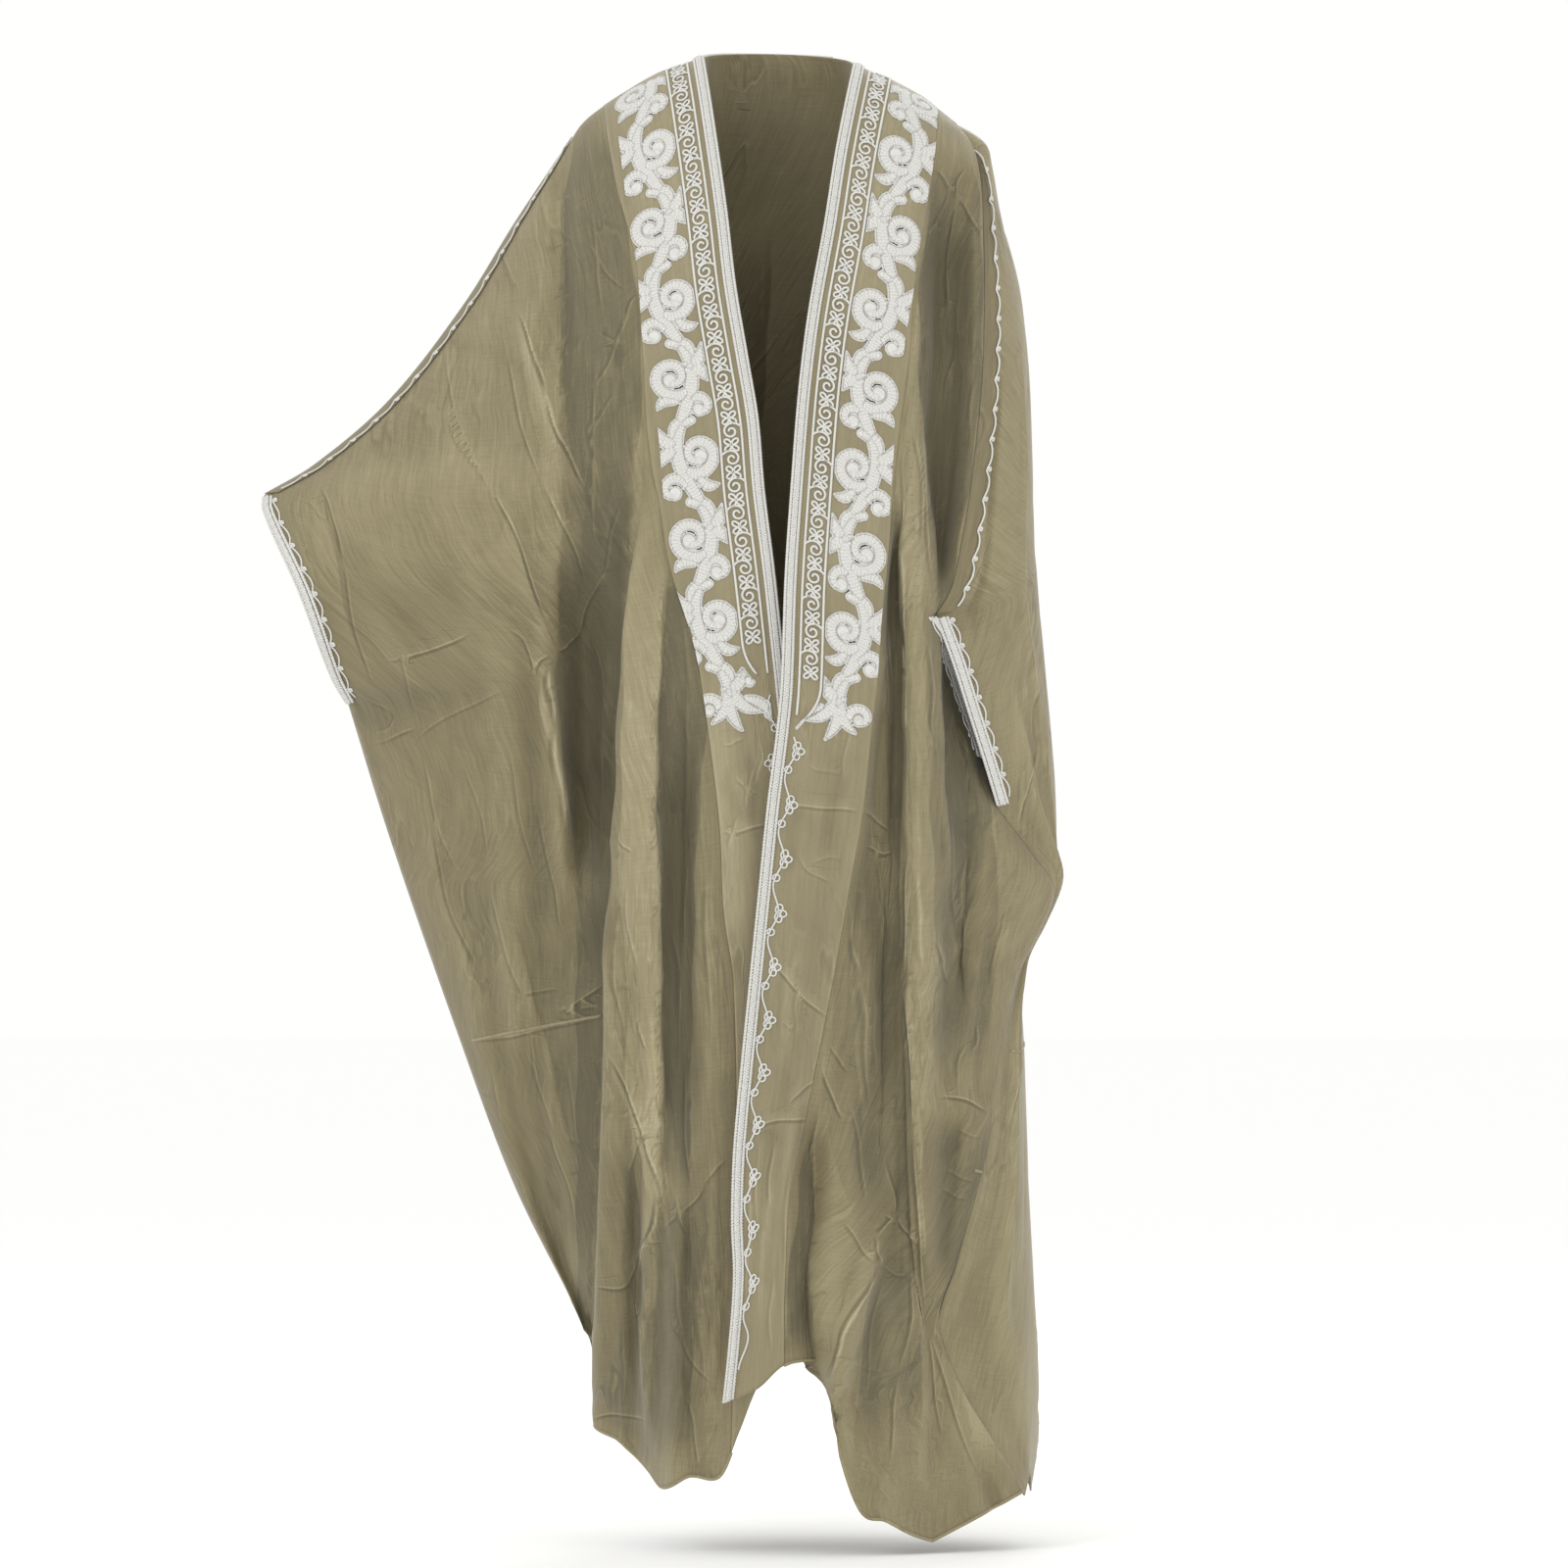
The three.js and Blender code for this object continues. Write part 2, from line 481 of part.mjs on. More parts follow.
// Columns of a front's panel at one height: they follow the turn of the lap fold, and the last ones
// carry the cuff braid and the arm strip.
function foldedColumns(half, down) {
  const surface = (across, at) => frontPoint(half, across, at);
  const edge = frontLineX(half, 1, down);
  const lap = frontLineX(half, 2, down);
  const side = frontLineX(half, 3, down);
  const room = Math.abs(lap - edge);
  const turn = half.fold.width / 2;
  const squeeze = Math.min(1, (room * 0.8) / turn);
  const columns = [];
  for (let k = 0; k < 4; k += 1) {
    columns.push(mix(1 + GAP_SHARE, 2 - (turn * squeeze) / room, k / 4));
  }
  for (const mark of [-1, -0.68, -0.38, -0.12, 0.12, 0.38, 0.68, 1]) {
    columns.push(2 + (mark * turn) / (mark < 0 ? room / squeeze : Math.abs(side - lap)));
  }
  const start = columns.at(-1);
  const strip = acrossAt(surface, 3, -1, SHOULDER_STRIP, down);
  const braid = acrossAt(surface, 3, -1, CUFF_BRAID_WIDTH, down);
  for (let k = 1; k <= 5; k += 1) columns.push(mix(start, strip, k / 5));
  columns.push(braid, 3);
  return columns;
}

function backColumns(down) {
  const rightBraid = acrossAt(backPoint, 0, 1, CUFF_BRAID_WIDTH, down);
  const rightStrip = acrossAt(backPoint, 0, 1, SHOULDER_STRIP, down);
  const leftStrip = acrossAt(backPoint, 3, -1, SHOULDER_STRIP, down);
  const leftBraid = acrossAt(backPoint, 3, -1, CUFF_BRAID_WIDTH, down);
  const inner = [0.34, 0.45, 0.55, 0.62, 0.72, 0.82, 0.93, 1.03, 1.12, 1.21, 1.3, 1.38, 1.47, 1.57, 1.66,
    1.75, 1.84, 1.92, 2];
  const beside = (share) => mix(rightStrip, 0.34, share);
  const before = (share) => mix(2, leftStrip, share);
  return [0, rightBraid, rightStrip, beside(0.33), beside(0.66), ...inner, before(0.2), before(0.4),
    before(0.6), before(0.8), leftStrip, leftBraid, 3];
}

function frontLineX(half, across, down) {
  const line = [half.lapel, half.band, half.lap][across];
  const z = atBreak(half.breaks.side, down);
  return across === 3 ? sideLine(half, down).x : read(line, 'x', z);
}

// A surface sampled on a grid: points and outward normals, row by row, with the columns of each row.
function sheetOf(surface, columnsAt, outward) {
  const columns = rows.map(columnsAt);
  const points = rows.map((down, i) => columns[i].map((across) => surface(across, down)));
  const normals = rows.map((down, i) => columns[i].map((across) => (
    normalAt(surface, across, down).multiplyScalar(outward))));
  return { points, normals, columns };
}

function frontSheets(half) {
  const surface = (across, down) => frontPoint(half, across, down);
  return {
    band: sheetOf(surface, () => bandColumns, -half.side),
    panel: sheetOf(surface, (down) => foldedColumns(half, down), -half.side),
  };
}

const isOpenCuff = (i) => i > ROWS.arm && i < ROWS.arm + ROWS.cuff;

// Points of a front that are sewn to the back: its shoulder line and its side, but for the open cuff.
function sewnFront(half, sheet, isPanel) {
  const sewn = [];
  sheet.points[0].forEach((point, j) => {
    sewn.push({ i: 0, j, line: point.clone().setY(0), away: BACKWARD.clone().negate() });
  });
  if (!isPanel) return sewn;
  const last = sheet.points[0].length - 1;
  rows.forEach((down, i) => {
    if (i === 0 || isOpenCuff(i)) return;
    const side = sideLine(half, down);
    const line = frontPoint(half, 3, down);
    sewn.push({ i, j: last, line, away: side.seamNormal.clone().negate() });
  });
  return sewn;
}

const sheets = { right: frontSheets(RIGHT), left: frontSheets(LEFT) };

const backSheet = sheetOf(backPoint, backColumns, 1);

function sewnBack() {
  const sewn = [];
  backSheet.columns[0].forEach((across, j) => {
    if (across > 0.63 && across < 1.37) return;
    sewn.push({ i: 0, j, line: neckLine(across).setY(0), away: BACKWARD.clone() });
  });
  rows.forEach((down, i) => {
    if (i === 0 || isOpenCuff(i)) return;
    const last = backSheet.columns[i].length - 1;
    sewn.push({ i, j: 0, line: backPoint(0, down), away: sideLine(RIGHT, down).seamNormal });
    sewn.push({ i, j: last, line: backPoint(3, down), away: sideLine(LEFT, down).seamNormal });
  });
  return sewn;
}

// ---------------------------------------------------------------- scroll applique
// Drawn flat on the band: s runs from the middle of the scroll work towards the side, t down the band.
// A vine winds down the band, a large volute fills each of its bends, and a hooked curl leaves it between.
const VINE = { sway: 13, half: 5.8, swell: 0.6 };
const SCROLL_MOTIF = {
  volutes: table(['s', 't', 'radius', 'start', 'turns', 'width', 'steps'], [
    [7, 6, 22, 118, -1.22, 11.5, 9], [-7, 90, 21, 62, 1.22, 11, 9],
    [-15, 41, 14, -22, -0.78, 10, 5], [20, 125, 15, 202, 0.78, 10, 5]]),
  leaves: table(['s0', 't0', 's1', 't1', 'bow', 'width'], [
    [-10, 162, -27, 144, -6, 12], [-10, 1, -27, 14, 5, 12], [12, 78, 30, 62, 6, 12], [12, 86, 30, 97, -5, 12],
    [4, 138, -18, 158, 7, 12], [-4, 54, 18, 74, -7, 12]]),
};

// Closed outline of a stroke: a line of middle points, each with half the stroke's width there.
function strokeShape(line) {
  const left = [];
  const right = [];
  line.forEach(({ s, t, half }, k) => {
    const before = line[Math.max(0, k - 1)];
    const after = line[Math.min(line.length - 1, k + 1)];
    const length = Math.hypot(after.s - before.s, after.t - before.t);
    const across = { s: -(after.t - before.t) / length, t: (after.s - before.s) / length };
    left.push(new THREE.Vector2(s + across.s * half, t + across.t * half));
    right.unshift(new THREE.Vector2(s - across.s * half, t - across.t * half));
  });
  return new THREE.Shape([...left, ...right]);
}

function vineLine(steps) {
  return range(0, steps).map((k) => {
    const angle = (2 * Math.PI * k) / steps;
    return {
      s: -VINE.sway * Math.cos(angle),
      t: (SCROLL_REPEAT * k) / steps,
      half: VINE.half + VINE.swell * Math.sin(2 * angle),
    };
  });
}

function voluteLine(volute, steps) {
  return range(0, steps).map((k) => {
    const share = k / steps;
    const angle = THREE.MathUtils.degToRad(volute.start + 360 * volute.turns * share);
    const radius = volute.radius * (1 - 0.74 * share ** 0.9);
    return {
      s: volute.s + radius * Math.cos(angle),
      t: volute.t + radius * Math.sin(angle),
      half: (volute.width / 2) * (1 - 0.2 * share),
    };
  });
}

function bowedLine(stroke, steps, halfAt) {
  const length = Math.hypot(stroke.s1 - stroke.s0, stroke.t1 - stroke.t0);
  return range(0, steps).map((k) => {
    const share = k / steps;
    const bow = stroke.bow * Math.sin(Math.PI * share);
    return {
      s: mix(stroke.s0, stroke.s1, share) - (bow * (stroke.t1 - stroke.t0)) / length,
      t: mix(stroke.t0, stroke.t1, share) + (bow * (stroke.s1 - stroke.s0)) / length,
      half: (stroke.width / 2) * halfAt(share),
    };
  });
}

function solidOf(geometry) {
  for (const name of ['normal', 'uv']) geometry.deleteAttribute(name);
  const merged = mergeVertices(geometry, 1e-4);
  return new wasm.Manifold(new wasm.Mesh({
    numProp: 3,
    vertProperties: new Float32Array(merged.getAttribute('position').array),
    triVerts: new Uint32Array(merged.getIndex().array),
  }));
}

function flatScrolls() {
  const shapes = [strokeShape(vineLine(9))];
  for (const volute of SCROLL_MOTIF.volutes) shapes.push(strokeShape(voluteLine(volute, volute.steps)));
  for (const leaf of SCROLL_MOTIF.leaves) {
    shapes.push(strokeShape(bowedLine(leaf, 3, (share) => Math.sin(Math.PI * (0.22 + 0.7 * share)))));
  }
  const plain = { depth: SCROLL_THICK, bevelEnabled: false, curveSegments: 1 };
  const solids = shapes.map((shape) => solidOf(new THREE.ExtrudeGeometry(shape, plain)));
  const motif = solids.reduce((sum, solid) => sum.add(solid));
  const all = range(0, SCROLL_COUNT - 1).map((k) => motif.translate([0, k * SCROLL_REPEAT, 0]))
    .reduce((sum, solid) => sum.add(solid));
  return all.simplify(SCROLL_TRIM).refineToLength(SCROLL_FACET);
}

// Puts a flat solid on a band: its first number across from the front edge, its second down.
function laidOn(band, solid, stop) {
  const middle = 3;
  const lengths = [0];
  for (let i = 1; i <= TOTAL_ROWS; i += 1) {
    lengths.push(lengths[i - 1] + band.outer[i][middle].distanceTo(band.outer[i - 1][middle]));
  }
  const mesh = solid.getMesh();
  const place = [];
  // each square of the sheet is two flat triangles, so a point on it is found on one of them
  const spot = (i, j, u, v, layer) => {
    const near = layer[i][j];
    const far = layer[i + 1][j + 1];
    const bend = u > v ? layer[i][j + 1] : layer[i + 1][j];
    const [first, second] = u > v ? [u, v] : [v, u];
    return near.clone().multiplyScalar(1 - first).addScaledVector(bend, first - second)
      .addScaledVector(far, second);
  };
  for (let k = 0; k < mesh.vertProperties.length; k += 3) {
    const away = Math.min(BAND_WIDTH - 2, SCROLL_CENTRE + mesh.vertProperties[k]);
    const along = Math.min(stop, SCROLL_TOP + mesh.vertProperties[k + 1]);
    let i = 0;
    while (lengths[i + 1] < along) i += 1;
    let j = 0;
    while (j < BAND_MARKS.length - 2 && BAND_MARKS[j + 1] < away) j += 1;
    const u = (away - BAND_MARKS[j]) / (BAND_MARKS[j + 1] - BAND_MARKS[j]);
    const v = (along - lengths[i]) / (lengths[i + 1] - lengths[i]);
    const height = SCROLL_GAP + mesh.vertProperties[k + 2];
    const point = lifted(spot(i, j, u, v, band.outer), spot(i, j, u, v, band.lift).normalize(), height);
    place.push(point.x, point.y, point.z);
  }
  const geometry = new THREE.BufferGeometry();
  geometry.setAttribute('position', new THREE.Float32BufferAttribute(place, 3));
  geometry.setIndex(new THREE.BufferAttribute(new Uint32Array(mesh.triVerts), 1));
  return facingOut(geometry);
}

// ---------------------------------------------------------------- assembly
const COLOURS = { cloth: 0x8f876a, band: 0xa79d78, cord: 0xe9e8df, strip: 0x8d8062 };

function material(colour, roughness) {
  return new THREE.MeshStandardMaterial({ color: colour, roughness, metalness: 0 });
}

const group = new THREE.Group();

function addPiece(name, geometry, colour, roughness = 0.85) {
  const mesh = new THREE.Mesh(geometry, material(colour, roughness));
  mesh.name = name;
  group.add(mesh);
}

const allRows = range(0, TOTAL_ROWS);
const armRows = range(1, ROWS.arm);
const latticeRows = { right: range(0, 16), left: range(0, 15) };
const flat = flatScrolls();

for (const [name, half] of [['right', RIGHT], ['left', LEFT]]) {
  const { band, panel } = sheets[name];
  const sewnPanel = sewnFront(half, panel, true);
  addPiece(`front_${name}`, panelGeometry(panel, CLOTH, sewnPanel), COLOURS.cloth);
  addPiece(`front_band_${name}`, panelGeometry(band, BAND_CLOTH, sewnFront(half, band, false)), COLOURS.band);
  addPiece(`edge_braid_${name}`, trimGeometry(band, [0, 1], allRows, BRAID_THICK), COLOURS.cord);
  const lattice = trimGeometry(band, [2, 3], latticeRows[name], LATTICE_THICK);
  addPiece(`lattice_band_${name}`, lattice, COLOURS.cord);
  addPiece(`scroll_applique_${name}`, laidOn(band, flat, 705), COLOURS.cord);
}
addPiece('back', panelGeometry(backSheet, CLOTH, sewnBack()), COLOURS.cloth);

const backLast = backSheet.columns[0].length - 1;
const neckColumns = range(backSheet.columns[0].indexOf(0.62), backSheet.columns[0].indexOf(1.38));
const yokeColumns = range(3, backSheet.columns[0].indexOf(1.75));
addPiece('neck_band_back', trimGeometry(backSheet, yokeColumns, range(0, 3), CLOTH), COLOURS.band);
addPiece('neck_braid_back', trimGeometry(backSheet, neckColumns, [0, 1], BRAID_THICK, 2 * SEAM_GAP + CLOTH),
  COLOURS.cord);

// Cuff braids on both edges of each cuff, and the seam strips along the arms.
const rightPanel = sheets.right.panel;
const leftPanel = sheets.left.panel;
const panelLast = rightPanel.columns[0].length - 1;
const cuffFoot = ROWS.arm + ROWS.cuff;
const cuffTrims = [
  ['cuff_braid_right_front', rightPanel, [panelLast - 1, panelLast], cuffFoot],
  ['cuff_braid_right_back', backSheet, [0, 1], cuffFoot],
  ['cuff_braid_left_front', leftPanel, [panelLast - 1, panelLast], cuffFoot - 0.9],
  ['cuff_braid_left_back', backSheet, [backLast - 1, backLast], cuffFoot],
];
for (const [name, sheet, columns, foot] of cuffTrims) {
  const cuffRows = [...range(ROWS.arm, cuffFoot - 1), foot];
  addPiece(name, trimGeometry(sheet, columns, cuffRows, BRAID_THICK), COLOURS.cord);
}
addPiece('arm_strip_right', trimGeometry(rightPanel, range(panelLast - 2, panelLast), armRows.slice(0, -1),
  STRIP_THICK), COLOURS.strip);
addPiece('arm_strip_left', trimGeometry(backSheet, range(backLast - 2, backLast), armRows.slice(0, -1),
  STRIP_THICK), COLOURS.strip);

export default group;
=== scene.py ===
"""A worn bisht: sheer olive cloth hung wide over the shoulders, with white corded edges.

The panels follow the cut of the solids, in millimetres, and get their finer folds here. "across" runs
0..3 over a front (front edge, band edge, lap fold, side) and over the back (right side, middle, left
arm, left side); "down" runs 0..3 (shoulder, cuff top, cuff foot, hem)."""
import math

import bpy
import numpy as np
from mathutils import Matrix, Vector


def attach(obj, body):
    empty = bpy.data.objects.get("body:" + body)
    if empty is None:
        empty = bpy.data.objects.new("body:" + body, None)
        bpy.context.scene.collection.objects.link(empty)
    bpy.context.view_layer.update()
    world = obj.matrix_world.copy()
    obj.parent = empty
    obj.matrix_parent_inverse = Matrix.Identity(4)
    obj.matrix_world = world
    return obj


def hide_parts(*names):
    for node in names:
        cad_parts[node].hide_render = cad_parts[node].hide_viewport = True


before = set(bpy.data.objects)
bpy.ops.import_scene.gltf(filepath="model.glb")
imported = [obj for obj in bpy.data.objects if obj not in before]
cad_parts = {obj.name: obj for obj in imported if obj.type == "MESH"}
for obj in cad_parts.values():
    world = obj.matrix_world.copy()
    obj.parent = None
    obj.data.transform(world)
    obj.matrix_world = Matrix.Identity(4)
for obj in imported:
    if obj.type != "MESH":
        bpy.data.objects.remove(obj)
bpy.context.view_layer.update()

MM = 0.001
# walls of the cloth, in metres
CLOTH_WALL = 0.0009
BAND_WALL = 0.0016
STRIP_WALL = 0.0008
# lengths of the cut and of the body that it hangs round, in millimetres
BAND_WIDTH = 105
CHEST_DEPTH = 120
BACK_DEPTH = 132
SHOULDER_ROUND = 70
HEM_FLARE = 28
COAT_LENGTH = 1450
NECK_HALF = 76
NECK_BACK = 75
NECK_RISE = 12
BACK_CUFF_SWELL = 46
LAP_CLEAR = 11
UNDER_DROP = 62
# height below which the long fold of the left front lies open, and over what length it does
FOLD_OPENS, OPENING_LENGTH = -1170, 230


# ---------------------------------------------------------------- small maths
def mix(a, b, k):
    return a + (b - a) * k


def smooth(k):
    k = np.clip(k, 0, 1)
    return k * k * (3 - 2 * k)


def hump(away):
    """A rounded ridge: 1 at its middle, 0 from 1 on."""
    return 0.5 * (1 + np.cos(np.pi * np.minimum(away, 1)))


def rows_of(columns):
    """The rows of a table, one by one."""
    for values in zip(*columns.values()):
        yield dict(zip(columns, values))


def table(columns, rows):
    values = np.array(rows, dtype=float)
    return {name: values[:, k] for k, name in enumerate(columns)}


def read(rows, column, z):
    """One column of a table at height z, on a smooth curve through rows whose z falls."""
    heights, values = rows["z"], rows[column]
    last = len(heights) - 1
    n = np.arange(last + 1)
    before, after = np.maximum(n - 1, 0), np.minimum(n + 1, last)
    slopes = (values[after] - values[before]) / (heights[after] - heights[before])
    z = np.clip(z, heights[-1], heights[0])
    k = np.clip(np.searchsorted(-heights, -z, side="left") - 1, 0, last - 1)
    span = heights[k + 1] - heights[k]
    t = (z - heights[k]) / span
    keep = (2 * t ** 3 - 3 * t ** 2 + 1) * values[k]
    reach = (3 * t ** 2 - 2 * t ** 3) * values[k + 1]
    bend = (t ** 3 - 2 * t ** 2 + t) * slopes[k] + (t ** 3 - t ** 2) * slopes[k + 1]
    return keep + reach + bend * span


# ---------------------------------------------------------------- lines of the cut, as worn
RIGHT = dict(
    side=-1,
    neck=(-77, 3),
    cuff_swell=-42,
    breaks=dict(edge=[3, -400, -620, -1335], side=[-89, -447, -662, -1345]),
    shoulder=table(["x", "z"], [[-77, 3], [-105, -7], [-123, -13], [-152, -29], [-183, -49], [-203, -66],
        [-218, -89]]),
    lapel=table(["z", "x"], [[3, -77], [-48, -69], [-160, -53], [-236, -44], [-313, -31], [-373, -21],
        [-443, -15], [-522, -5], [-566, 0], [-700, 14], [-900, 30], [-1100, 40], [-1335, 40]]),
    band=table(["z", "x"], [[-49, -183], [-134, -166], [-208, -146], [-294, -139], [-389, -133],
        [-448, -123], [-522, -111], [-608, -85], [-710, -69], [-789, -60], [-873, -56], [-944, -46],
        [-1150, -43], [-1440, -52]]),
    lap=table(["z", "x"], [[-66, -201], [-150, -186], [-300, -160], [-393, -140], [-623, -150],
        [-837, -163], [-980, -168], [-1123, -175], [-1257, -181], [-1393, -188]]),
    arm=table(["z", "x", "y"], [[-89, -218, 0], [-167, -270, 0], [-255, -325, -2], [-353, -402, -6],
        [-418, -478, -9], [-447, -528, -10]]),
    cuff=table(["z", "x", "y"], [[-447, -528, -10], [-463, -528, -10], [-547, -490, -8], [-633, -458, -4],
        [-662, -442, 0]]),
    seam=table(["z", "x", "y"], [[-662, -442, 0], [-798, -400, 4], [-1006, -328, 8], [-1158, -271, 10],
        [-1311, -196, 14], [-1345, -190, 16]]),
    hem=table(["x", "z"], [[40, -1325], [-17, -1347], [-41, -1401], [-56, -1439], [-66, -1448],
        [-91, -1446], [-120, -1459], [-134, -1443], [-161, -1417], [-177, -1400], [-190, -1393]]),
    fold=dict(top=-380, full=-620, width=36, shift=15, depth=42, reach=150, front=1),
    folds=table(["x0", "z0", "x1", "z1", "half", "rise"], [[-267, -235, -194, -460, 24, 9],
        [-222, -90, -226, -300, 20, -7], [-203, -480, -186, -860, 40, -24],
        [-243, -560, -214, -880, 18, 10], [-285, -520, -262, -1040, 30, 8],
        [-136, -560, -136, -980, 22, 12], [-98, -640, -96, -1130, 30, -22],
        [-101, -1120, -106, -1470, 24, 14], [-141, -1080, -146, -1450, 22, -16],
        [-420, -700, -345, -1010, 42, -8], [-330, -900, -262, -1200, 26, 7],
        [-470, -440, -350, -640, 34, -8]]),
)
LEFT = dict(
    side=1,
    neck=(76, -4),
    cuff_swell=46,
    breaks=dict(edge=[-4, -540, -745, -1371], side=[-65, -572, -769, -1464]),
    shoulder=table(["x", "z"], [[76, -4], [103, -16], [122, -24], [148, -38], [162, -49], [182, -65]]),
    lapel=table(["z", "x"], [[-4, 76], [-96, 58], [-173, 46], [-262, 30], [-342, 20], [-443, 12],
        [-534, 6], [-643, 2], [-694, -3], [-766, -12], [-855, -21], [-944, -30], [-1034, -39],
        [-1114, -46], [-1186, -48], [-1243, -46], [-1314, -51], [-1371, -57]]),
    band=table(["z", "x"], [[-49, 162], [-90, 160], [-147, 152], [-230, 138], [-310, 132], [-384, 122],
        [-439, 116], [-518, 110], [-573, 104], [-630, 100], [-694, 93], [-769, 85], [-844, 72],
        [-909, 61], [-980, 49], [-1044, 38], [-1130, 24], [-1204, 11], [-1329, 5]]),
    lap=table(["z", "x"], [[-60, 173], [-120, 172], [-200, 160], [-300, 149], [-435, 130], [-502, 129],
        [-598, 130], [-662, 132], [-823, 127], [-980, 132], [-1123, 137], [-1240, 142], [-1330, 150],
        [-1500, 160]]),
    arm=table(["z", "x", "y"], [[-65, 182, 0], [-86, 197, -16], [-119, 205, -40], [-172, 208, -58],
        [-308, 208, -76], [-426, 197, -90], [-502, 185, -98], [-547, 174, -102], [-572, 158, -104]]),
    cuff=table(["z", "x", "y"], [[-572, 158, -104], [-620, 176, -97], [-670, 192, -90], [-720, 208, -80],
        [-769, 223, -68]]),
    seam=table(["z", "x", "y"], [[-769, 223, -68], [-812, 256, -50], [-851, 281, -34], [-898, 265, -44],
        [-941, 243, -56], [-1052, 218, -80], [-1116, 211, -88], [-1229, 180, -98], [-1289, 162, -100],
        [-1350, 182, -92], [-1410, 217, -78], [-1464, 250, -62]]),
    hem=table(["x", "z"], [[-57, -1371], [-21, -1354], [5, -1331], [30, -1329], [50, -1354], [61, -1418],
        [83, -1479], [108, -1489], [140, -1506], [169, -1513], [204, -1504], [250, -1466]]),
    fold=dict(top=-380, full=-560, width=26, shift=9, depth=24, reach=60, front=-1),
    folds=table(["x0", "z0", "x1", "z1", "half", "rise"], [[172, -90, 166, -580, 40, -40],
        [146, -420, 152, -1140, 20, 14], [99, -780, 94, -1200, 28, -20], [30, -1040, 36, -1400, 26, -46],
        [190, -640, 182, -1010, 24, -18], [238, -860, 204, -1200, 20, 9], [104, -1190, 50, -1380, 18, 14],
        [118, -1220, 126, -1540, 40, 16], [182, -1300, 224, -1500, 16, -10],
        [176, -1060, 166, -1260, 18, -9]]),
)
# Outermost line of the cloth on the hanging left arm and below it, seen from the front.
OUTER = table(["z", "x", "y"], [[-65, 184, 2], [-88, 205, 2], [-150, 220, 0], [-188, 227, 0],
  [-259, 246, -4], [-310, 253, -6], [-358, 257, -8], [-443, 260, -10], [-522, 262, -12], [-583, 266, -12],
  [-646, 272, -10], [-742, 281, -6], [-789, 284, -2], [-851, 283, 2], [-898, 268, 4], [-941, 249, 4],
  [-1043, 252, 4], [-1147, 256, 6], [-1243, 261, 8], [-1354, 267, 10], [-1422, 265, 12], [-1464, 259, 14]])
BACK = dict(
    middle=[NECK_RISE, -420, -650, -1322],
    hem=table(["z", "drop"], [[3, 4], [2.5, 0], [2, 40], [1.5, 34], [1, 0], [0.5, -22], [0, 0]]),
    folds=table(["across", "half", "rise", "top", "full"], [[0.34, 0.09, 10, 0.7, 2.4],
        [0.55, 0.07, -9, 0.9, 2.6], [0.72, 0.09, 13, 0.5, 2.6], [0.93, 0.1, -14, 0.5, 2.7],
        [1.12, 0.09, 12, 0.4, 2.6], [1.3, 0.08, -15, 0.6, 2.7], [1.47, 0.09, 14, 0.9, 2.7],
        [1.66, 0.09, -12, 1.1, 2.8], [1.84, 0.08, 10, 1.3, 2.8], [2.5, 0.3, -6, 1.6, 2.6]]),
)


# ---------------------------------------------------------------- the panels as surfaces
def at_break(marks, down):
    return np.interp(down, [0, 1, 2, 3], marks)


def side_line(half, down):
    """The outer line of a front: down the arm, along the cuff, and down the side seam."""
    z = at_break(half["breaks"]["side"], down)
    part = np.minimum(2, np.floor(down)).astype(int)
    x, y = (np.choose(part, [read(half[name], column, z) for name in ("arm", "cuff", "seam")])
            for column in ("x", "y"))
    return x, y, z


def read_across(rows, x, side):
    """Height of a shoulder or hem line over x."""
    turned = {"z": -side * rows["x"], "value": rows["z"]}
    return read(turned, "value", -side * x)


def relief(folds, x, z, hem_line=-1330):
    """Sum of ridges and troughs, each along a line that wavers a little."""
    total = np.zeros_like(x)
    for fold in rows_of(folds):
        t = (z - fold["z0"]) / (fold["z1"] - fold["z0"])
        away = np.abs(x - mix(fold["x0"], fold["x1"], t)) / fold["half"]
        fade = smooth(t / 0.28)
        if fold["z1"] >= hem_line:
            fade = fade * smooth((1 - t) / 0.22)
        total += np.where((t >= 0) & (t <= 1), fold["rise"] * hump(away) * fade, 0)
    return total


def cuff_opening(down):
    """How far open the sleeve is along the cuff."""
    return np.where((down > 1) & (down < 2), np.sin(np.pi * (down - 1)), 0)


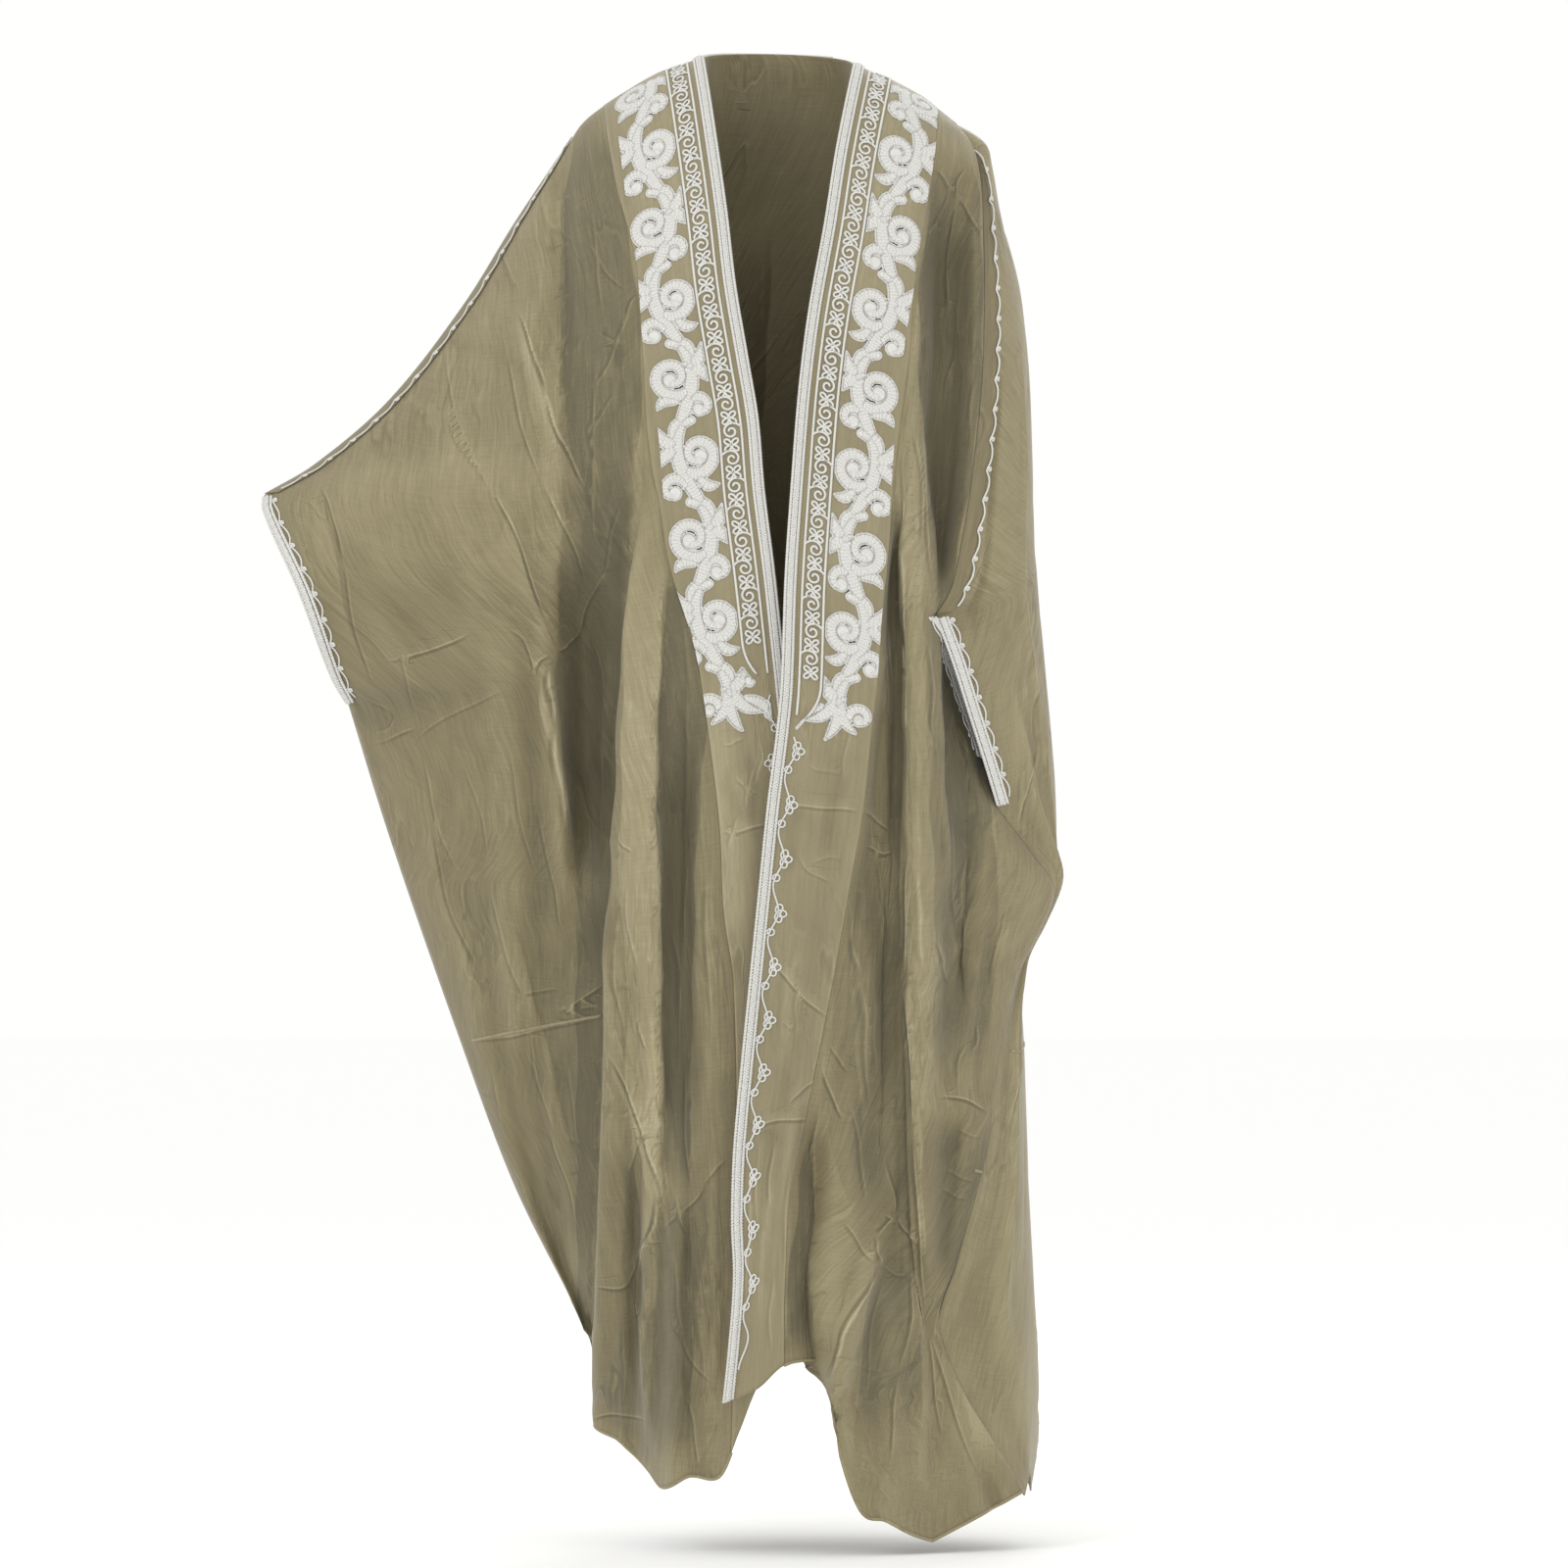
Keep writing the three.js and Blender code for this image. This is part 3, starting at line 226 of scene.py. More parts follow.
def front_point(half, across, down):
    """Points of a front, in millimetres."""
    side = half["side"]
    edge_z = at_break(half["breaks"]["edge"], down)
    side_x, side_y, side_z = side_line(half, down)
    edge_x = read(half["lapel"], "x", edge_z)

    def share_of(line):
        share = np.full_like(down, 0.3)
        for _ in range(4):
            x = read(line, "x", mix(edge_z, side_z, share))
            share = (x - edge_x) / (side_x - edge_x)
        return share

    band_share = share_of(half["band"])
    lap_share = np.maximum(band_share + 0.02, np.minimum(0.97, share_of(half["lap"])))
    part = np.minimum(2, np.floor(across)).astype(int)
    step = across - part
    share = np.choose(part, [band_share * step, mix(band_share, lap_share, step), mix(lap_share, 1, step)])
    x = mix(edge_x, side_x, share)
    row_z = mix(edge_z, side_z, share)

    shoulder, hem = half["shoulder"], half["hem"]
    neck_x = half["neck"][0]
    top_z = read_across(shoulder, mix(neck_x, shoulder["x"][-1], share), side)
    top_bend = top_z - mix(half["breaks"]["edge"][0], half["breaks"]["side"][0], share)
    end_x, _, end_z = side_line(half, np.array(3.0))
    hem_edge_x = read(half["lapel"], "x", np.array(float(half["breaks"]["edge"][3])))
    at_lap = read_across(hem, mix(hem_edge_x, end_x, lap_share), side)
    hem_x = mix(hem_edge_x, end_x, share)
    at_hem = read_across(hem, side * np.minimum(side * hem_x, side * hem["x"][-1]), side)
    hem_z = np.where(across > 2, mix(at_lap, end_z, across - 2), at_hem)
    hem_bend = hem_z - mix(half["breaks"]["edge"][3], half["breaks"]["side"][3], share)
    z = row_z + top_bend * np.clip(1 - down / 0.4, 0, 1) ** 2 + hem_bend * smooth((down - 2.15) / 0.85)

    drop = np.maximum(0, top_z - z)
    swell = np.sin((np.pi / 2) * np.clip(1 - share, 0, 1) ** 0.75)
    chest = -(CHEST_DEPTH * (1 - np.exp(-((drop / SHOULDER_ROUND) ** 0.7))) + HEM_FLARE * drop / COAT_LENGTH)
    y = side_y + (chest - side_y) * swell + half["cuff_swell"] * cuff_opening(down) * share ** 6

    lap_x = mix(edge_x, side_x, lap_share)
    span = half["fold"]
    facing = side * span["front"]
    grown = smooth((span["top"] - z) / (span["top"] - span["full"]))
    out = facing * (lap_x - x)
    opened = smooth((FOLD_OPENS - z) / OPENING_LENGTH) if side > 0 else 0
    tight = np.clip(0.5 - out / span["width"], 0, 1)
    x = x + facing * grown * (1 - opened) * span["shift"] * np.sin(2 * np.pi * tight)
    turn = np.clip(0.5 - out / (span["width"] * (1 + 4 * opened)), 0, 1)
    behind = smooth(turn) * (1 - smooth((-out - span["width"] / 2) / span["reach"]))
    near_side = smooth((1 - share) / 0.12)
    near_band = smooth((share - band_share) / 0.04) if span["front"] < 0 else 1
    y = y + grown * span["depth"] * behind * near_side * near_band

    calm = smooth((top_z - z) / 60) * near_side * smooth((across - 0.75) / 0.5)
    y = y - relief(half["folds"], x, z) * calm
    if side > 0:
        y = y - LAP_CLEAR * smooth((-300 - z) / 250) * (1 - smooth((across - 1) / 1.6))
    else:
        y = y + 4 * smooth((-480 - z) / 120) * smooth((x + 60) / 50)
        y = y + UNDER_DROP * smooth((-880 - z) / 220) * smooth((x + 25) / 60)
    return np.stack([x, y, z], axis=-1)


def neck_line(across):
    """The top of the back: right shoulder, neck hollow, left shoulder."""
    ridge_end, ridge_start = 0.62, 1.38
    x_right = mix(RIGHT["shoulder"]["x"][-1], RIGHT["neck"][0], np.clip(across / ridge_end, 0, 1))
    x_left = mix(LEFT["neck"][0], LEFT["shoulder"]["x"][-1],
                 np.clip((across - ridge_start) / (3 - ridge_start), 0, 1))
    share = np.clip((across - ridge_end) / (ridge_start - ridge_end), 0, 1)
    angle = np.pi * share
    neck_z = mix(RIGHT["neck"][1], LEFT["neck"][1], share) + NECK_RISE * np.sin(angle)
    part = np.where(across <= ridge_end, 0, np.where(across >= ridge_start, 2, 1))
    x = np.choose(part, [x_right, -NECK_HALF * np.cos(angle) - 0.5, x_left])
    y = np.choose(part, [0 * angle, NECK_BACK * np.sin(angle), 0 * angle])
    z = np.choose(part, [read_across(RIGHT["shoulder"], x_right, -1), neck_z,
                         read_across(LEFT["shoulder"], x_left, 1)])
    return x, y, z


def back_point(across, down):
    """Points of the back, in millimetres."""
    right_x, right_y, right_z = side_line(RIGHT, down)
    left_x, left_y, left_z = side_line(LEFT, down)
    middle_z = at_break(BACK["middle"], down)
    top_x, top_y, top_z = neck_line(across)
    drop = NECK_RISE - middle_z
    depth = mix(NECK_BACK, BACK_DEPTH, 1 - np.exp(-drop / 90)) + HEM_FLARE * drop / COAT_LENGTH
    cuff = BACK_CUFF_SWELL * cuff_opening(down)
    outer_z = mix(middle_z, left_z, 0.75)
    outer_x, outer_y = read(OUTER, "x", left_z), read(OUTER, "y", left_z)
    a = np.clip(across, 0, 1)
    first = (mix(right_x, 0, a), right_y + (depth - right_y) * np.sin((np.pi / 2) * a ** 0.78)
             + cuff * (1 - a) ** 6, mix(right_z, middle_z, a))
    angle = (np.pi / 2) * np.clip(across - 1, 0, 1)
    second = (outer_x * np.sin(angle) ** 1.04,
              outer_y + (depth - outer_y) * np.clip(np.cos(angle), 0, 1) ** 0.86,
              mix(middle_z, outer_z, np.clip(across - 1, 0, 1)))
    k = np.clip(across - 2, 0, 1)
    turn = 2 * k * (1 - k)
    third = ((1 - k) ** 2 * outer_x + turn * mix(outer_x, np.maximum(outer_x, left_x), 0.9) + k ** 2 * left_x,
             (1 - k) ** 2 * outer_y + turn * mix(outer_y, left_y, 0.62) + k ** 2 * left_y,
             mix(outer_z, left_z, k))
    part = np.where(across <= 1, 0, np.where(across <= 2, 1, 2))
    x, y, z = (np.choose(part, values) for values in zip(first, second, third))
    outer_top = mix(BACK["middle"][0], LEFT["breaks"]["side"][0], 0.75)
    start = np.interp(across, [0, 1, 2, 3], [RIGHT["breaks"]["side"][0], BACK["middle"][0], outer_top,
                                             LEFT["breaks"]["side"][0]])
    z = z + (top_z - start) * np.clip(1 - down / 0.6, 0, 1) ** 2
    z = z - read(BACK["hem"], "drop", across) * smooth((down - 2.1) / 0.9)
    shaped = np.sin((np.pi / 2) * np.clip(down / 0.42, 0, 1)) ** 0.62
    opening = mix(0.42, 0.13, smooth((across - 1.38) / 0.5))
    x = mix(top_x, x, smooth(down / opening))
    y = mix(top_y, y, shaped)
    for fold in rows_of(BACK["folds"]):
        grown = smooth((down - fold["top"]) / (fold["full"] - fold["top"]))
        y = y + fold["rise"] * hump(np.abs(across - fold["across"]) / fold["half"]) * grown
    on_seam = across <= 0
    x = np.where(on_seam, right_x, x)
    y = np.where(on_seam, right_y + cuff, y)
    z = np.where(on_seam, right_z, z)
    return np.stack([x, y, z], axis=-1)


# ---------------------------------------------------------------- grids, creases and tones
def grid(surface, across, down):
    """Points of a surface in metres, rows down the cloth and columns across it."""
    a, d = np.meshgrid(np.array(across, dtype=float), np.array(down, dtype=float))
    return surface(a, d) * MM


def unit(vectors):
    return vectors / np.maximum(np.linalg.norm(vectors, axis=-1, keepdims=True), 1e-12)


def normals_of(points, outward):
    sideways = np.gradient(points, axis=1)
    downwards = np.gradient(points, axis=0)
    return unit(np.cross(sideways, downwards)) * outward


def lengths_along(points, axis):
    steps = np.linalg.norm(np.diff(points, axis=axis), axis=-1)
    start = np.zeros_like(np.take(steps, [0], axis=axis))
    return np.cumsum(np.concatenate([start, steps], axis=axis), axis=axis)


def stroke(p, q, row):
    """How near points (p, q) lie to a bowed line: 1 on it, 0 past its half width or its ends."""
    p0, q0, p1, q1, half, _, bow = row
    length = math.hypot(p1 - p0, q1 - q0)
    ux, uy = (p1 - p0) / length, (q1 - q0) / length
    t = ((p - p0) * ux + (q - q0) * uy) / length
    off = (p - p0) * uy - (q - q0) * ux - bow * np.sin(np.pi * np.clip(t, 0, 1))
    off = off + half * 0.22 * np.sin(9.0 * t + p0 * 0.07)
    ends = smooth(t / 0.25) * smooth((1 - t) / 0.25)
    return off / half, np.where((t > 0) & (t < 1), ends, 0)


def soft_strokes(rows, p, q):
    """Wide soft ridges, troughs or tones."""
    total = np.zeros_like(p)
    for row in rows:
        away, ends = stroke(p, q, row)
        total += row[5] * ends * hump(np.abs(away))
    return total


def crisp_strokes(rows, p, q):
    """Creases with a sharp crest: their height, how far off the nearest crest is, and its rise."""
    height, off, rise = np.zeros_like(p), np.full_like(p, 12.0), np.zeros_like(p)
    for row in rows:
        away, ends = stroke(p, q, row)
        flank = np.where(away > 0, 1.0, 0.62)
        height += row[5] * ends * np.exp(-np.abs(away) * 1.5 * flank)
        near = (ends > 0) & (np.abs(away * row[4]) < np.abs(off))
        off = np.where(near, away * row[4], off)
        rise = np.where(near, abs(row[5]) * ends, rise)
    return height, off, rise


# a crisp line is drawn by its finish within this reach, where its softness is under the second number
EDGE_REACH, SOFT_SIDE = 6, 5
# sides nearer to each other than this count as one line
ONE_LINE = 2.5


def waver(z, seed):
    """A small wave along a line, so that it is not ruled."""
    return 1.2 * np.sin(z * 0.06 + seed)


def layered(layers, edges, x, z):
    """Layers that lie over each other and folds with one sharp edge: height, tone with painted shade and
    painted highlights, and for the crisp lines the signed distance to the nearest and the step in tone across
    it."""
    height, lines = np.zeros_like(x), []
    # each pane: one tone over its area, partly that of layered cloth and partly painted shade or painted
    # light
    for heights, left, right, tone, soft in layers:
        fade = min(60, 0.25 * (heights[0] - heights[-1]))
        ends = smooth((heights[0] - z) / fade) * smooth((z - heights[-1]) / fade)
        sway, run = waver(z, left[0]), -np.array(heights)
        inside = np.minimum(x - np.interp(-z, run, left) - sway, np.interp(-z, run, right) - x - sway)
        lines.append((inside, 0 * x, tone * ends, soft))
    for line_x, line_z, side, rise, reach, dark, shadow_reach, light in edges:
        line = np.interp(-z, -np.array(line_z), line_x) + waver(z, line_x[0])
        away = (x - line) * side
        ends = smooth((line_z[0] - z) / 70) * smooth((z - line_z[-1]) / 70)
        height += ends * rise * (0.5 + 0.5 * np.tanh(away / 2)) * np.exp(-np.maximum(away, 0) / reach)
        # a painted shadow on the low side of the fold edge and a painted highlight on its raised side
        lines.append((away, -dark * ends * np.exp(-np.abs(away) / shadow_reach),
                      light * ends * np.exp(-np.abs(away) / 13), 2))
    near = np.full_like(x, 2.0 * EDGE_REACH)
    for away, low, high, soft in lines:
        crisp = (np.abs(high - low) > 0.01) & (soft < SOFT_SIDE)
        near = np.where((np.abs(away) < np.abs(near)) & crisp, away, near)
    close = np.abs(near) < EDGE_REACH
    tone, step = np.zeros_like(x), np.zeros_like(x)
    for away, low, high, soft in lines:
        same = close & (np.abs(away - near) < ONE_LINE) & (soft < SOFT_SIDE)
        turned = close & (np.abs(away + near) < ONE_LINE) & (soft < SOFT_SIDE) & ~same
        partly = low + (high - low) * (0.5 + 0.5 * np.tanh(away / soft))
        tone += np.where(same, low, np.where(turned, high, partly))
        step += np.where(same, high - low, np.where(turned, low - high, 0))
    return height, tone, step, np.clip(near, -EDGE_REACH, EDGE_REACH)


def crumple(seed, p, q, count, height):
    """Small random creases of unpressed cloth."""
    draw = np.random.default_rng(seed)
    low = (p.min(), q.min())
    size = (np.ptp(p), np.ptp(q))
    total = np.zeros_like(p)
    for _ in range(count):
        cx, cz = low[0] + size[0] * draw.random(), low[1] + size[1] * draw.random()
        angle = draw.normal(math.pi / 2, 0.62)
        length, half = draw.uniform(25, 95), draw.uniform(3.5, 9)
        rise = height * draw.uniform(0.35, 1) * draw.choice([-1, 1])
        along = (p - cx) * math.cos(angle) + (q - cz) * math.sin(angle)
        off = -(p - cx) * math.sin(angle) + (q - cz) * math.cos(angle) + 0.004 * along ** 2 / half
        total += rise * np.exp(-np.abs(off) / half - (along / length) ** 2)
    return total


def blurred(values, reach):
    """Mean over a window, rows and columns alike."""
    for axis in (0, 1):
        pad = [(0, 0), (0, 0)]
        pad[axis] = (reach + 1, reach)
        total = np.cumsum(np.pad(values, pad, mode="edge"), axis=axis)
        window = 2 * reach + 1
        take = np.arange(values.shape[axis])
        values = (np.take(total, take + window, axis=axis) - np.take(total, take, axis=axis)) / window
    return values


# ---------------------------------------------------------------- creases, and tones of painted shade and light, as placed
# FOLDS, CREASES and the areas of painted shade and light: a line from one point to another, its half width,
# its height or tone, and its bow, in millimetres seen from the front (x, z), or on the back (millimetres
# round the back, z).
FOLDS_RIGHT = [
    (-470, -440, -350, -640, 34, 10, 0), (-420, -700, -345, -1010, 42, 10, 0),
    (-262, -248, -192, -450, 13, 5, 6), (-222, -150, -214, -330, 16, -5, 3),
    (-330, -330, -300, -640, 26, 4, 8), (-238, -610, -214, -812, 9, 7, 5),
    (-199, -590, -190, -770, 24, -9, 3), (-174, -560, -171, -1040, 7, 6, 3),
    (-147, -620, -149, -960, 14, 5, 3), (-112, -700, -104, -1120, 18, -6, 4),
    (-82, -680, -84, -1010, 9, 4, -3), (-128, -1060, -129, -1440, 9, 6, 3),
    (-92, -1150, -88, -1430, 12, -6, 2), (-64, -1080, -68, -1400, 9, 4, -2),
    (-300, -700, -246, -1150, 18, 4, 8), (-246, -940, -216, -1290, 13, -4, 5),
    (-160, -1090, -170, -1400, 8, -4, 3)]
CREASES_RIGHT = [
    (-344, -296, -290, -453, 5, 1.6, 8), (-295, -433, -237, -583, 5, 3, -5),
    (-339, -366, -302, -432, 4, 1.4, 4), (-469, -435, -445, -521, 4, 2.6, -5),
    (-445, -513, -413, -648, 4, 2.8, 4), (-483, -449, -461, -475, 4, 1.6, 2),
    (-405, -617, -311, -587, 4, 3, 6), (-278, -296, -241, -440, 4, 2.2, 4),
    (-241, -435, -194, -545, 4, 2.6, -3), (-267, -259, -233, -354, 4, 3.2, -4),
    (-233, -348, -193, -448, 4, 3.4, 4), (-229, -609, -203, -586, 4, 3.2, 3),
    (-205, -591, -173, -523, 4, 2.8, -4), (-276, -584, -249, -634, 5, 2.6, -8),
    (-250, -635, -233, -611, 4, 3, -4), (-236, -623, -229, -683, 4, 3.2, 2),
    (-230, -678, -218, -793, 4, 2.6, 4), (-377, -700, -275, -646, 4, 1.4, -4),
    (-430, -703, -368, -684, 4, 2.4, 3), (-443, -649, -392, -673, 4, 2, -3),
    (-391, -671, -417, -691, 4, 2, -6), (-385, -607, -367, -677, 3, 1.3, 3),
    (-191, -595, -173, -683, 4, 2, -4), (-187, -303, -183, -463, 4, 1.8, 3),
    (-195, -143, -181, -273, 4, 1.6, -3), (-155, -263, -189, -343, 4, 2.2, -4),
    (-195, -189, -155, -243, 4, 1.6, 4), (-143, -243, -161, -293, 5, 2.6, 3),
    (-167, -343, -191, -383, 3, 1.4, -2), (-159, -303, -185, -283, 3, 1.4, 2),
    (-159, -453, -179, -543, 4, 1.8, 3), (-197, -363, -189, -503, 4, 1.4, -3),
    (-365, -703, -325, -843, 5, 1.3, 6), (-325, -713, -295, -823, 4, 1.2, -4),
    (-275, -703, -247, -843, 4, 1.4, 4), (-250, -763, -223, -903, 4, 1.5, -4),
    (-355, -783, -303, -943, 5, 1.5, 8), (-295, -843, -255, -973, 4, 1.4, 4),
    (-228, -975, -178, -945, 4, 3.4, 4), (-228, -976, -178, -967, 4, 2.2, 2),
    (-265, -959, -223, -953, 3, 1.6, -2), (-325, -1007, -178, -979, 4, 2.2, 3),
    (-255, -1003, -229, -1103, 4, 1.5, 3), (-239, -1093, -205, -1203, 5, 2, -4),
    (-295, -1023, -275, -1123, 4, 1.2, 3), (-275, -1123, -239, -1243, 4, 1.3, 4),
    (-215, -1023, -199, -1143, 4, 1.3, 3), (-160, -796, -143, -812, 4, 2.6, 2),
    (-125, -765, -121, -829, 4, 2.4, 2), (-140, -979, -131, -1015, 3, 2.2, 4),
    (-175, -1011, -115, -1165, 4, 3.4, -6), (-150, -843, -140, -933, 4, 1.6, 4),
    (-167, -903, -155, -1003, 4, 1.5, 3), (-155, -1143, -131, -1093, 4, 1.6, -3),
    (-119, -1158, -145, -1243, 4, 2.8, -6), (-155, -1252, -119, -1205, 4, 2.8, -6),
    (-185, -1255, -150, -1251, 4, 2.6, 3), (-147, -1239, -127, -1308, 4, 2.6, 8),
    (-119, -1193, -73, -1148, 4, 2.4, 4), (-77, -1151, -50, -1121, 3, 1.8, -2),
    (-105, -1159, -91, -1203, 4, 1.6, 3), (-95, -1023, -90, -1158, 4, 2.6, 2),
    (-107, -883, -103, -1043, 4, 2, -3), (-89, -803, -95, -943, 4, 1.4, 2),
    (-73, -823, -67, -1003, 3, 1.3, 2), (-59, -873, -55, -1063, 3, 1.2, 2),
    (-109, -1283, -65, -1353, 6, 2, 6), (-95, -1363, -83, -1443, 5, 2, -4),
    (-135, -1273, -129, -1383, 4, 1.6, 3), (-105, -1223, -95, -1313, 4, 1.5, 3),
    (-195, -1395, -129, -1393, 4, 2.6, -7), (-175, -1403, -129, -1455, 4, 1.8, 4),
    (-183, -1283, -191, -1373, 4, 1.5, 3), (-163, -1283, -159, -1373, 4, 1.3, -3)]
# PANES of one tone, partly where layers lie over each other and partly painted shade in hollows and painted
# light on flaps: heights, left side, right side, tone, softness.
PANES_RIGHT = [
    ((-53, -143, -243, -343, -443), (-205, -221, -222, -220, -220), (-179, -161, -144, -138, -149),
     -0.25, 3),
    ((-398, -503, -583, -643, -743, -843, -943), (-220, -223, -225, -228, -221, -205, -199),
     (-147, -150, -154, -155, -155, -158, -167), -0.15, 3),
    ((-383, -483, -583, -683, -803), (-211, -203, -210, -224, -215), (-150, -154, -157, -162, -167),
     -0.09, 7),
    ((-363, -443, -543, -643, -743, -843, -943), (-239, -229, -205, -195, -195, -191, -189),
     (-143, -153, -153, -155, -155, -161, -167), -0.1, 3),
    ((-252, -293, -343, -393, -443, -493, -543), (-269, -265, -255, -245, -238, -218, -195),
     (-266, -249, -236, -217, -196, -201, -194), 0.1, 1.6),
    ((-423, -543, -643, -743, -843, -943, -1043, -1143), (-143, -155, -160, -164, -169, -175, -180, -185),
     (-127, -114, -123, -127, -124, -119, -115, -115), 0.07, 2.5),
    ((-503, -583, -683, -783, -883, -983, -1083, -1173), (-112, -117, -125, -126, -121, -119, -118, -119),
     (-83, -73, -73, -79, -83, -87, -89, -91), -0.25, 2.5),
    ((-1003, -1073, -1158), (-98, -98, -96), (-92, -89, -90), -0.12, 3),
    (range(-643, -1344, -100), (-93, -93, -96, -101, -103, -101, -95, -75),
     (-73, -63, -55, -47, -45, -45, -47, -50), -0.08, 3),
    (range(-1143, -1444, -60), (-123, -127, -131, -133, -135, -135), (-91, -89, -88, -88, -89, -91),
     -0.27, 2.5),
    ((-843, -943, -1043, -1143, -1243, -1343, -1423), (-207, -207, -207, -207, -207, -207, -207),
     (-155, -153, -155, -145, -133, -131, -133), -0.18, 2.5),
    (range(-1093, -1394, -100), (-187, -189, -192, -197), (-155, -135, -125, -128), -0.06, 2.5),
    ((-623, -663, -703, -793), (-239, -242, -233, -222), (-231, -229, -221, -216), 0.2, 1.5),
    ((-643, -658, -678, -691), (-441, -435, -431, -419), (-431, -409, -397, -407), -0.07, 1.6),
    ((-993, -1093, -1193, -1303), (-325, -295, -255, -195), (-177, -182, -187, -191), -0.04, 4),
    ((-183, -273, -363, -463), (-275, -315, -355, -365), (-239, -255, -265, -275), 0.05, 14),
    ((-503, -643, -793, -943, -1093, -1243), (-515, -495, -495, -495, -395, -345),
     (-223, -229, -221, -197, -189, -193), -0.09, 12)]
# EDGES of folds: the line (x at falling z), the side that stands out, its rise and reach, how much painted
# shadow lies on the cloth under it and how far, and how strong the painted highlight on the edge is.
EDGES_RIGHT = [
    ((-221, -222, -218, -220, -225, -228, -221, -205), (-103, -243, -383, -463, -563, -643, -743, -843),
     -1, 2.5, 40, 0.04, 20, 0.05),
    ((-149, -155, -160, -164, -169, -175, -180, -185, -189, -195),
     (-443, -543, -643, -743, -843, -943, -1043, -1143, -1243, -1383), 1, 4, 24, 0.07, 18, 0.13),
    ((-112, -117, -125, -126, -121, -119, -118, -119, -123, -127),
     (-503, -583, -683, -783, -883, -983, -1083, -1173, -1273, -1393), -1, 6.5, 20, 0.06, 34, 0.12),
    ((-105, -95, -93, -94, -98, -105, -105), (-503, -583, -683, -783, -883, -983, -1083),
     1, 4, 20, 0.05, 12, 0.06),
    ((-267, -249, -236, -217, -195), (-252, -293, -343, -393, -446), -1, 3, 14, 0.08, 14, 0.09),
    ((-290, -275, -255, -239, -229), (-423, -463, -533, -583, -613), -1, 3.5, 30, 0.12, 16, 0.08),
    ((-470, -455, -443, -430, -417), (-433, -503, -563, -608, -646), -1, 1.6, 12, 0.12, 7, 0.06),
    (range(-365, -289, 25), (-763, -863, -933, -983), -1, 2.6, 25, 0.08, 22, 0.06),
    ((-283, -255, -229, -205), (-843, -943, -1043, -1153), -1, 2.6, 25, 0.08, 24, 0.06),
    ((-178, -150, -130, -119), (-1003, -1083, -1143, -1193), 1, 3, 18, 0.08, 14, 0.1),
    ((-70, -83, -73), (-1163, -1273, -1373), 1, 3, 16, 0.08, 16, 0.04)]
FOLDS_LEFT = [
    (138, -352, 148, -1040, 8, 7, 4), (155, -380, 170, -900, 8, 5, 4), (121, -440, 118, -860, 9, -6, 3),
    (165, -160, 160, -560, 12, -5, 5), (99, -780, 94, -1200, 28, 18, 0), (190, -640, 182, -1010, 24, 16, 0),
    (82, -900, 70, -1260, 10, 4, 3), (128, -900, 132, -1330, 10, 5, 3), (178, -700, 172, -1040, 12, -5, 4),
    (208, -850, 186, -1180, 12, 5, 5), (30, -1040, 36, -1400, 26, 34, 0), (60, -1180, 74, -1450, 11, 5, 3),
    (96, -1240, 100, -1490, 12, -5, 3), (140, -1220, 150, -1490, 12, 6, 3),
    (176, -1260, 206, -1480, 10, -5, 3), (166, -1290, 232, -1440, 9, 4, 6)]
